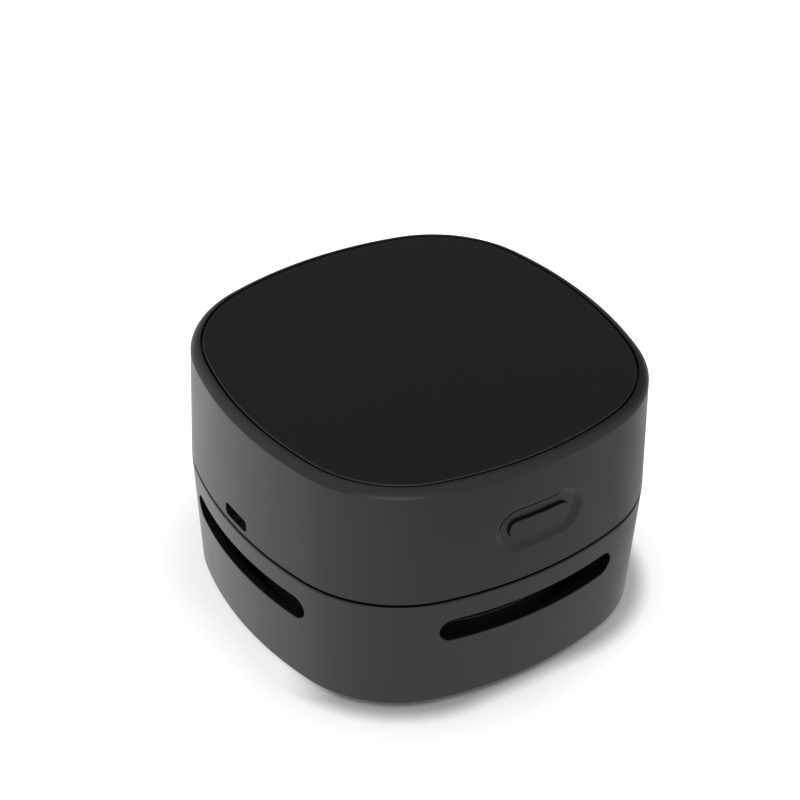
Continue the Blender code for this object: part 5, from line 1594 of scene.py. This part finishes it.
    def pole_outline(self, z: float) -> list[Vector]:
        """Outline of the core with its poles, at a height."""
        loop = []
        top = math.sqrt(self.shoe ** 2 - self.neck ** 2)
        for number in range(self.poles):
            middle = 60.0 + 360.0 * number / self.poles
            marks = [middle + self.shoe_half * (step / 8 - 1.0) for step in range(17)]
            turn = Matrix.Rotation(math.radians(middle), 4, "Z")
            loop += [turn @ Vector((self.hub, -self.neck, z)), turn @ Vector((top, -self.neck, z)),
                     turned_to(marks[0], self.shoe, z)]
            loop += [turned_to(mark, self.core_radius, z) for mark in marks]
            loop += [turned_to(marks[-1], self.shoe, z), turn @ Vector((top, self.neck, z)),
                     turn @ Vector((self.hub, self.neck, z))]
        return loop


@dataclass
class Cell:
    """Rechargeable cell in its shrink sleeve, and the holder that it lies in."""

    lap: float = 1.9 * MM
    film: float = 0.15 * MM
    nub: tuple[float, float] = (2.5 * MM, 0.8 * MM)
    gap: float = 0.3 * MM

    def build(self) -> None:
        """Make the cell's can, its sleeve and the holder."""
        low, high = span("battery_cell")
        half, radius = high.x, (high.y - low.y) / 2
        axis = (low + high) / 2
        turn = lying("Y", 0.0, axis.y, axis.z)
        end = half - self.nub[1]
        film, lip = self.film, radius - self.lap
        loop = [(lip, -half), (radius, -half), (radius, end), (lip, end), (lip, end - film),
                (radius - film, end - film), (radius - film, film - half), (lip, film - half)]
        loop = paced(eased(loop, {1: 0.7, 2: 0.7, 5: 0.55, 6: 0.55}), 4.0 * MM, True)
        sleeve = Form("sleeve").turn(loop, True, 96).moved(turn)
        settle("battery_sleeve_finished", sleeve.mesh(), "cell_sleeve", Body.UNIT, "battery_cell")
        core = radius - film - 0.01 * MM
        path = [(0.0, 0.05 * MM - half), (core, 0.05 * MM - half), (core, end - 0.1 * MM),
                (self.nub[0] + 0.6 * MM, end - 0.1 * MM), (self.nub[0], end + 0.1 * MM),
                (self.nub[0], half), (0.0, half)]
        path = paced(eased(path, {1: 0.7, 2: 0.7, 5: 0.3}), 4.0 * MM)
        can = Form("can").turn(path, False, 96).moved(turn)
        settle("battery_can_finished", can.mesh(), "steel", Body.UNIT)
        self.holder(turn, half, radius, axis)

    def holder(self, turn: Matrix, half: float, radius: float, axis: Vector) -> None:
        """Make the holder.

        Args:
            turn: lays an upright form along the cell.
            half: half the cell's length.
            radius: the cell's radius.
            axis: the cell's middle.
        """
        low, high = span("battery_holder")
        room = radius + self.gap
        tray = Form("holder").block(low, high, 0.5 * MM)
        bed = Form("bed").rod(room, -half - self.gap, half + self.gap, None, 96).moved(turn)
        mouth = Form("mouth").block((-half - self.gap, axis.y - room, axis.z),
                                    (half + self.gap, axis.y + room, high.z + MM))
        settle("battery_holder_finished", carve(tray, [bed, mouth]), "inner_plastic", Body.UNIT,
               "battery_holder")


@dataclass
class ChargeBoard:
    """Charging board behind the port, with its socket, chip, lamp and screws."""

    sheet: float = 0.3 * MM
    corner: float = 0.95 * MM
    back: float = 1.0 * MM
    tongue: tuple[float, float] = (4.0 * MM, 0.6 * MM)
    screw_inset: float = 2.5 * MM
    legs: int = 4
    leg: float = 0.42 * MM
    leg_thick: float = 0.12 * MM
    pads: tuple[tuple[float, float], ...] = ((0.62, 1.0), (0.86, 0.333), (0.86, -0.333),
                                             (0.62, -1.0))

    def build(self) -> None:
        """Make the board and everything on it."""
        low, high = span("charge_board")
        edge = high.y - self.screw_inset
        spots = [Vector((high.x - self.screw_inset, side * edge, 0.0)) for side in (-1, 1)]
        board = Form("board").block(low, high, 0.15 * MM)
        holes = Form("holes").rods(spots, Tray.screw_hole, low.z - MM, high.z + MM)
        settle("charge_board_finished", carve(board, [holes]), "board", Body.UNIT,
               "charge_board")
        solder = Form("solder")
        for share, aside in self.pads:
            spot = Vector((low.x + (high.x - low.x) * share, aside * edge, 0.0))
            path = [(0.0, high.z - 0.05 * MM), (1.1 * MM, high.z - 0.05 * MM),
                    (1.1 * MM, high.z + 0.05 * MM), (0.75 * MM, high.z + 0.2 * MM),
                    (0.62 * MM, high.z + 0.6 * MM), (0.0, high.z + 0.75 * MM)]
            solder.turn(path, False, 24, spot)
        settle("solder_joints_finished", solder.mesh(), "steel", Body.UNIT, sharp=60.0)
        low, high = span("board_screw_1")
        model = Fastener(head_thick=SMALL_HEAD).mesh(high.z - low.z - SMALL_HEAD)
        copies = []
        for spot in spots:
            copy = model.copy()
            spot.z = high.z - SMALL_HEAD
            copy.transform(Matrix.Translation(spot) @ Matrix.Rotation(math.pi, 4, "X"))
            copies.append(copy)
        settle("board_screws_finished", joined(*copies), "steel", Body.UNIT,
               *numbered("board_screw", 2))
        self.socket()
        self.chip()
        low, high = span("charge_lamp")
        lamp = Form("lamp").block(low, high, 0.18 * MM)
        settle("charge_lamp_finished", lamp.mesh(), "lamp", Body.UNIT, "charge_lamp", sharp=60.0)

    def socket(self) -> None:
        """Make the folded steel socket and the tongue in it."""
        low, high = span("usb_socket")
        z = (low.z + high.z) / 2
        width, height = high.y - low.y, high.z - low.z
        stages = [(high.x, 0.0), (low.x + 0.1 * MM, 0.0), (low.x, 0.1 * MM),
                  (low.x, self.sheet - 0.08 * MM), (low.x + 0.1 * MM, self.sheet),
                  (high.x - self.back, self.sheet)]
        rings = []
        for x, shy in stages:
            loop = rounded_box(width - 2 * shy, height - 2 * shy, self.corner - shy, 8)
            rings.append([Vector((x, y, z + rise)) for y, rise in loop])
        shell = Form("socket").skin(rings)
        settle("usb_socket_finished", shell.mesh(), "steel", Body.UNIT, "usb_socket")
        half, thick = self.tongue[0] / 2, self.tongue[1] / 2
        tongue = Form("tongue").block((low.x + self.sheet, -half, z - thick),
                                      (high.x - self.back / 2, half, z + thick), 0.12 * MM)
        settle("socket_tongue_finished", tongue.mesh(), "chip", Body.UNIT, sharp=60.0)

    def chip(self) -> None:
        """Make the chip with its index mark and two rows of legs."""
        low, high = span("charge_chip")
        body = Form("chip").block(low, high, 0.15 * MM)
        mark = Vector((low.x + 0.8 * MM, low.y + 0.8 * MM, 0.0))
        dimple = Form("mark").rod(0.3 * MM, high.z - 0.12 * MM, high.z + MM, mark, 24)
        settle("charge_chip_finished", carve(body, [dimple]), "chip", Body.UNIT, "charge_chip")
        legs = Form("legs")
        middle, board = (low.z + high.z) / 2, low.z - 0.1 * MM
        pitch = (high.x - low.x) / self.legs
        section = ((-1, 0.0), (1, 0.0), (1, self.leg_thick), (-1, self.leg_thick))
        for number in range(self.legs):
            x = low.x + pitch * (number + 0.5)
            for side, face in ((-1, low.y), (1, high.y)):
                path = [(face - side * 0.1 * MM, middle), (face + side * 0.45 * MM, middle),
                        (face + side * 0.6 * MM, board), (face + side * 1.1 * MM, board)]
                legs.skin([[Vector((x + across * self.leg / 2, y, z + rise))
                            for across, rise in section] for y, z in path])
        settle("chip_legs_finished", legs.mesh(), "steel", Body.UNIT)


@dataclass
class Switch:
    """Upright switch board, the switch on it and the plunger that it holds."""

    rivet: float = 0.5 * MM
    rivet_inset: float = 0.95 * MM
    travel: float = 1.3 * MM
    room: float = 1.6 * MM

    def build(self) -> None:
        """Make the board, the switch's body with its rivets, and the plunger."""
        low, high = span("switch_board")
        board = Form("board").block(low, high, 0.15 * MM)
        settle("switch_board_finished", board.mesh(), "board", Body.UNIT, "switch_board")
        low, high = span("switch_body")
        box = Form("switch").block(low, high, 0.3 * MM)
        middle = (low.z + high.z) / 2
        deep = span("switch_plunger")[1].y + self.travel
        hole = Form("room").block((-self.room, low.y - MM, middle - self.room),
                                  (self.room, deep, middle + self.room), 0.05 * MM)
        settle("switch_body_finished", carve(box, [hole]), "chip", Body.UNIT, "switch_body")
        rivets = []
        for x in (low.x + self.rivet_inset, high.x - self.rivet_inset):
            for z in (low.z + self.rivet_inset, high.z - self.rivet_inset):
                rivet = Form("rivet").rod(self.rivet, -0.3 * MM, 0.18 * MM, None, 24, 0.12 * MM)
                rivets.append(rivet.moved(lying("X", x, low.y, z)).mesh())
        settle("switch_rivets_finished", joined(*rivets), "steel", Body.UNIT, sharp=60.0)
        low, high = span("switch_plunger")
        plunger = Form("plunger").block(low, high, 0.25 * MM)
        settle("switch_plunger_finished", plunger.mesh(), "fan_plastic", Body.PLUNGER,
               "switch_plunger", sharp=60.0)


@dataclass
class Wires:
    """Wires between the cell, the boards and the motor."""

    radius: float = 0.6 * MM
    rise: float = 3.0 * MM
    gap: float = 0.3 * MM
    end: float = 0.3 * MM
    steps: int = 10
    sides: int = 12
    pad_shares: tuple[float, float] = (0.62, 0.86)

    def build(self) -> None:
        """Make the five wires."""
        for node, (slot, marks) in self.routes().items():
            rings = self.rings(self.route([Vector(mark) for mark in marks]))
            mesh = Form(node).skin(rings).mesh()
            settle(f"{node}_finished", mesh, slot, Body.UNIT, node, sharp=80.0)

    def routes(self) -> dict[str, tuple[str, list[Sequence[float]]]]:
        """Slot and marks of each wire."""
        rise = Vector((0.0, 0.0, self.rise))
        cell, board, can = span("battery_cell"), span("charge_board"), span("motor_can")
        tabs = [span(node) for node in numbered("motor_terminal", 2)]
        top = Vector((0.0, 0.0, tabs[0][1].z + self.gap))
        aside = max(tab[1].x + tab[0].x for tab in tabs) / 2
        cell_y, cell_z = (cell[0].y + cell[1].y) / 2, (cell[0].z + cell[1].z) / 2
        lane, tab_x = (can[1].y + cell[0].y) / 2, cell[1].x - self.rise
        over = cell[1].z + self.rise + 2 * self.radius
        room_z = (tabs[0][1].z + UpperShell.web) / 2
        pads = [board[0].x + (board[1].x - board[0].x) * share for share in self.pad_shares]
        pad_y, pad_z = board[1].y - ChargeBoard.screw_inset, board[1].z + self.gap
        ends = [Vector((side * tab_x, cell_y, cell[1].z + self.gap)) for side in (-1, 1)]
        plus, switch = (Vector((pads[0], side * pad_y, pad_z)) for side in (1, -1))
        minus, motor = (Vector((pads[1], side * pad_y / 3, pad_z)) for side in (1, -1))
        back_y, box = span("switch_board")[1].y + self.gap, span("switch_body")
        inward = Vector((0.0, self.rise, 0.0))
        right, left = (Vector((x, back_y, box[1].z)) for x in (box[1].x, box[0].x))
        cap_left, cap_right = (top + Vector((side * aside, 0.0, 0.0)) for side in (-1, 1))
        return {
            "wire_cell_plus": ("wire_red", [
                ends[0], ends[0] + rise, (-tab_x - self.rise, lane, over),
                (plus.x, (lane + pad_y) / 2, cell_z), plus + rise, plus]),
            "wire_cell_minus": ("wire_black", [
                ends[1], ends[1] + rise, (0.0, lane + self.rise, over + self.rise),
                (-lane, can[1].x, over), (minus.x, minus.y + self.rise, cell_z),
                minus + rise, minus]),
            "wire_motor_minus": ("wire_black", [
                motor, motor + rise, (-lane - self.rise, motor.y, cell[1].z),
                (-can[1].x, motor.y / 2, room_z), cap_left + rise / 2, cap_left]),
            "wire_motor_plus": ("wire_red", [
                right, right + inward, (aside, -can[1].x, room_z),
                cap_right + rise / 2, cap_right]),
            "wire_switch": ("wire_red", [
                switch, switch + rise, (switch.x, -lane, cell_z),
                (-lane, (back_y - lane) / 2, box[1].z), left + inward, left]),
        }

    def route(self, marks: Sequence[Vector]) -> list[Vector]:
        """Closely spaced points on a smooth curve through the marks."""
        padded = [2 * marks[0] - marks[1], *marks, 2 * marks[-1] - marks[-2]]
        points = [marks[0]]
        for index in range(1, len(padded) - 2):
            before, start, end, after = padded[index - 1:index + 3]
            for step in range(1, self.steps + 1):
                t = step / self.steps
                points.append(0.5 * (2 * start + (end - before) * t
                                     + (2 * before - 5 * start + 4 * end - after) * t ** 2
                                     + (3 * start - before - 3 * end + after) * t ** 3))
        return points

    def rings(self, points: Sequence[Vector]) -> Rings:
        """Round sections along a route, with rounded ends.

        Args:
            points: closely spaced points of the route.

        Returns:
            The loops of the wire's skin.
        """
        rings = []
        ways = [(after - before).normalized() for before, after
                in zip([points[0], *points[:-1]], [*points[1:], points[-1]])]
        across = ways[0].orthogonal().normalized()
        for number, (point, way) in enumerate(zip(points, ways)):
            across = (across - way * across.dot(way)).normalized()
            beside = way.cross(across)
            stages = [(0.0, self.radius)]
            if number == 0:
                stages = [(-self.end, 0.0), (-self.end, self.radius - self.end), *stages]
            elif number == len(points) - 1:
                stages += [(self.end, self.radius - self.end), (self.end, 0.0)]
            for shift, radius in stages:
                middle = point + way * shift
                if radius == 0.0:
                    rings.append([middle])
                    continue
                angles = [math.tau * step / self.sides for step in range(self.sides)]
                rings.append([middle + (across * math.cos(angle) + beside * math.sin(angle))
                              * radius for angle in angles])
        return rings


@dataclass
class Studio:
    """Camera, lamps, white surroundings and floor."""

    place: tuple[float, float, float] = (-0.205596, -0.297944, 0.306738)
    aim: tuple[float, float, float] = (0.001165, 0.007885, 0.036932)
    roll: float = 1.1578
    lens: float = 100.38
    light: float = 0.46
    bright: float = 0.85
    dark: float = 0.17
    dark_side: tuple[float, float, float] = (0.68, 0.62, 0.39)
    window: tuple[float, float, float] = (-0.55, -0.80, 0.24)
    # left: side of the floor that gets painted light; the shift below moves the painted shadow away
    # from it.
    left: tuple[float, float] = (-0.83, 0.56)
    slide: float = 0.6 * MM
    floor: float = 3.0
    window_strength: float = 1.8

    def camera(self) -> None:
        """Set up the camera."""
        data = bpy.data.cameras.new("camera")
        data.sensor_width = 36.0
        data.lens = self.lens
        data.clip_start = 0.01
        camera = bpy.data.objects.new("camera", data)
        bpy.context.scene.collection.objects.link(camera)
        look = (Vector(self.aim) - Vector(self.place)).to_track_quat("-Z", "Y").to_matrix().to_4x4()
        turn = Matrix.Rotation(math.radians(self.roll), 4, "Z")
        camera.matrix_world = Matrix.Translation(self.place) @ look @ turn
        bpy.context.scene.camera = camera

    def lamps(self) -> None:
        """Set up two soft area lamps."""
        for name, place, size, watts in (("overhead", (0.0, -0.1, 0.95), 1.2, 3.8),
                                         ("side", (-0.62, 0.28, 0.5), 0.8, 2.6)):
            data = bpy.data.lights.new(name, "AREA")
            data.size = size
            data.energy = watts
            lamp = bpy.data.objects.new(name, data)
            lamp.location = place
            lamp.visible_glossy = False
            lamp.rotation_euler = (-Vector(place)).to_track_quat("-Z", "Y").to_euler()
            bpy.context.scene.collection.objects.link(lamp)

    @staticmethod
    def rays(graph: Graph) -> tuple[Signal, Signal]:
        """Whether a ray comes from the camera, and whether from a mirroring surface."""
        made = graph.node("ShaderNodeLightPath")
        camera = graph.out(made, "Is Camera Ray")
        mirror = graph.math("MAXIMUM", graph.out(made, "Is Glossy Ray"),
                            graph.out(made, "Is Transmission Ray"))
        return camera, graph.math("MAXIMUM", mirror - camera, 0.0)

    @staticmethod
    def facing(graph: Graph, toward: Signal, side: tuple[float, float, float]) -> Signal:
        """Cosine of the angle between a direction and a side of the room."""
        unit = graph.node("ShaderNodeVectorMath", {"operation": "NORMALIZE"}, {0: toward})
        made = graph.node("ShaderNodeVectorMath", {"operation": "DOT_PRODUCT"},
                          {0: graph.out(unit), 1: side})
        return graph.out(made, "Value")

    def mirrored(self, graph: Graph, toward: Signal) -> Signal:
        """How bright the room looks in a reflection, towards a direction."""
        facing = self.facing(graph, toward, self.dark_side)
        return graph.ramp(facing, 0.38, 0.97, self.bright, self.dark)

    def world(self) -> None:
        """White surroundings that light the object at a plain level."""
        world = bpy.data.worlds.new("surroundings")
        bpy.context.scene.world = world
        world.use_nodes = True
        graph = Graph(world.node_tree)
        sky = world.node_tree.nodes["Background"]
        sky.inputs["Color"].default_value = (1.0, 1.0, 1.0, 1.0)
        toward = graph.out(graph.node("ShaderNodeTexCoord"), "Generated")
        camera, mirror = self.rays(graph)
        window = graph.ramp(self.facing(graph, toward, self.window), 0.86, 0.99, 0.0,
                            self.window_strength)
        strength = (camera + mirror * (self.mirrored(graph, toward) + window)
                    + (1.0 - camera - mirror) * self.light)
        world.node_tree.links.new(strength.socket, sky.inputs["Strength"])

    def ground(self) -> None:
        """White floor whose emission paints the object's shadow close round its foot, and paints a
        side-lit look for reflections.
        """
        half = self.floor / 2
        mesh = bpy.data.meshes.new("floor")
        mesh.from_pydata([(-half, -half, 0), (half, -half, 0), (half, half, 0), (-half, half, 0)],
                         [], [(0, 1, 2, 3)])
        floor = as_object("floor", mesh)
        made = bpy.data.materials.new("floor_paper_painted_shadow")
        made.use_nodes = True
        graph = Graph(made.node_tree)
        tree = made.node_tree
        shader = tree.nodes["Principled BSDF"]
        shader.inputs["Base Color"].default_value = (0.5, 0.5, 0.5, 1.0)
        shader.inputs["Roughness"].default_value = 0.9
        shader.inputs["Specular IOR Level"].default_value = 0.0
        place = graph.out(graph.node("ShaderNodeTexCoord"), "Object")
        across, along, _ = graph.parts(place)
        # Distance from a shifted outline, so the painted shadow reaches further to the right and
        # front.
        away = self.distance(graph,
                             graph.math("ABSOLUTE", across + self.left[0] * self.slide),
                             graph.math("ABSOLUTE", along + self.left[1] * self.slide))
        leftward = along * self.left[1] + across * self.left[0]
        clear = self.clear(graph, away, leftward)
        camera, mirror = self.rays(graph)
        # Painted reflection: the floor that reflections see is lighter on the left than on the
        # right, and dimmer far off.
        far = graph.ramp(away, 0.06, 0.26)
        near = graph.ramp(leftward, -90.0 * MM, 50.0 * MM, 0.34, 0.78)
        mirrored = near * (1.0 - far) + self.mirrored(graph, place) * far * 0.6
        # Emission: white for the camera with the painted shadow, and the painted reflection for
        # mirroring rays.
        white_and_painted_light = graph.node("ShaderNodeEmission", None,
                          {"Color": (1.0, 1.0, 1.0, 1.0),
                           "Strength": camera * clear + mirror * mirrored})
        both = graph.node("ShaderNodeAddShader", None,
                          {0: Signal(graph, shader.outputs[0]), 1: graph.out(white_and_painted_light)})
        tree.links.new(both.outputs[0], tree.nodes["Material Output"].inputs["Surface"])
        mesh.materials.append(made)

    @staticmethod
    def clear(graph: Graph, away: Signal, leftward: Signal) -> Signal:
        """How far the floor's white emission shows; holding it back paints the shadow round the
        foot.

        Args:
            graph: node tree that the nodes are added to.
            away: distance outside the shell's lower edge.
            leftward: place towards the side of the floor with painted light.

        Returns:
            Strength of the white.
        """
        # Painted shadow: the white is held back in a band round the foot, fading out by about 6 mm.
        foot = graph.ramp(away, 0.3 * MM, 5.8 * MM, 0.04, 0.57)
        # Painted light: the band is lighter on the left side of the floor.
        lit = graph.ramp(leftward, 12.0 * MM, 27.0 * MM, 0.0, 0.56)
        spread = graph.ramp(away, 3.0 * MM, 12.0 * MM, 0.0, 0.08)
        open_floor = graph.ramp(away, 9.0 * MM, 26.0 * MM, 0.0, 0.35)
        # Painted light: far out on the right the shadow is lifted towards white.
        painted_light_right = graph.ramp(leftward, -46.0 * MM, -20.0 * MM, 0.10, 0.0)
        return graph.math("MAXIMUM", foot, lit) + spread + open_floor + painted_light_right

    @staticmethod
    def distance(graph: Graph, across: Signal, along: Signal) -> Signal:
        """Distance outside the shell's lower edge, from both offsets as positive numbers."""
        inset = LowerShell().draft
        outs = []
        for first, second in ((across, along), (along, across)):
            run = first - OUTLINE.side_centre
            arc = graph.math("SQRT", run * run + second * second)
            outs.append(arc - (OUTLINE.side_radius - inset))
        first = graph.math("MAXIMUM", across - OUTLINE.corner_centre, 0.0)
        second = graph.math("MAXIMUM", along - OUTLINE.corner_centre, 0.0)
        corner = graph.math("SQRT", first * first + second * second)
        corner = corner - (OUTLINE.corner_radius - inset)
        sides = graph.math("MAXIMUM", outs[0], outs[1])
        return graph.math("MAXIMUM", sides, corner)

    def build(self) -> None:
        """Set up the whole studio."""
        bpy.context.scene.view_settings.view_transform = "Standard"
        self.camera()
        self.lamps()
        self.world()
        self.ground()


def dress(frame: dict[str, Any]) -> None:
    """Give every solid of the frame its finish."""
    nodes = frame["nodes"]
    for part in frame["record"]["subparts"]:
        obj = nodes[part["node"]]
        finish = FINISH[part["material_slot"]].material()
        for index in range(len(obj.material_slots)):
            obj.material_slots[index].material = finish
        if not obj.material_slots:
            obj.data.materials.append(finish)


RING = Ring()
STRIP = Strip()


def main() -> None:
    """Build the studio and every piece, in order."""
    logging.basicConfig(level=logging.INFO, format="%(name)s %(message)s")
    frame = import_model()
    dress(frame)
    for part in (UpperShell(), TopPanel(), PowerButton(), LowerShell(), Underside(), DustCup(),
                 Fan(), Tray(), Motor(), Cell(), ChargeBoard(), Switch(), Wires()):
        part.build()
    Studio().build()


if __name__ == "__main__":
    main()
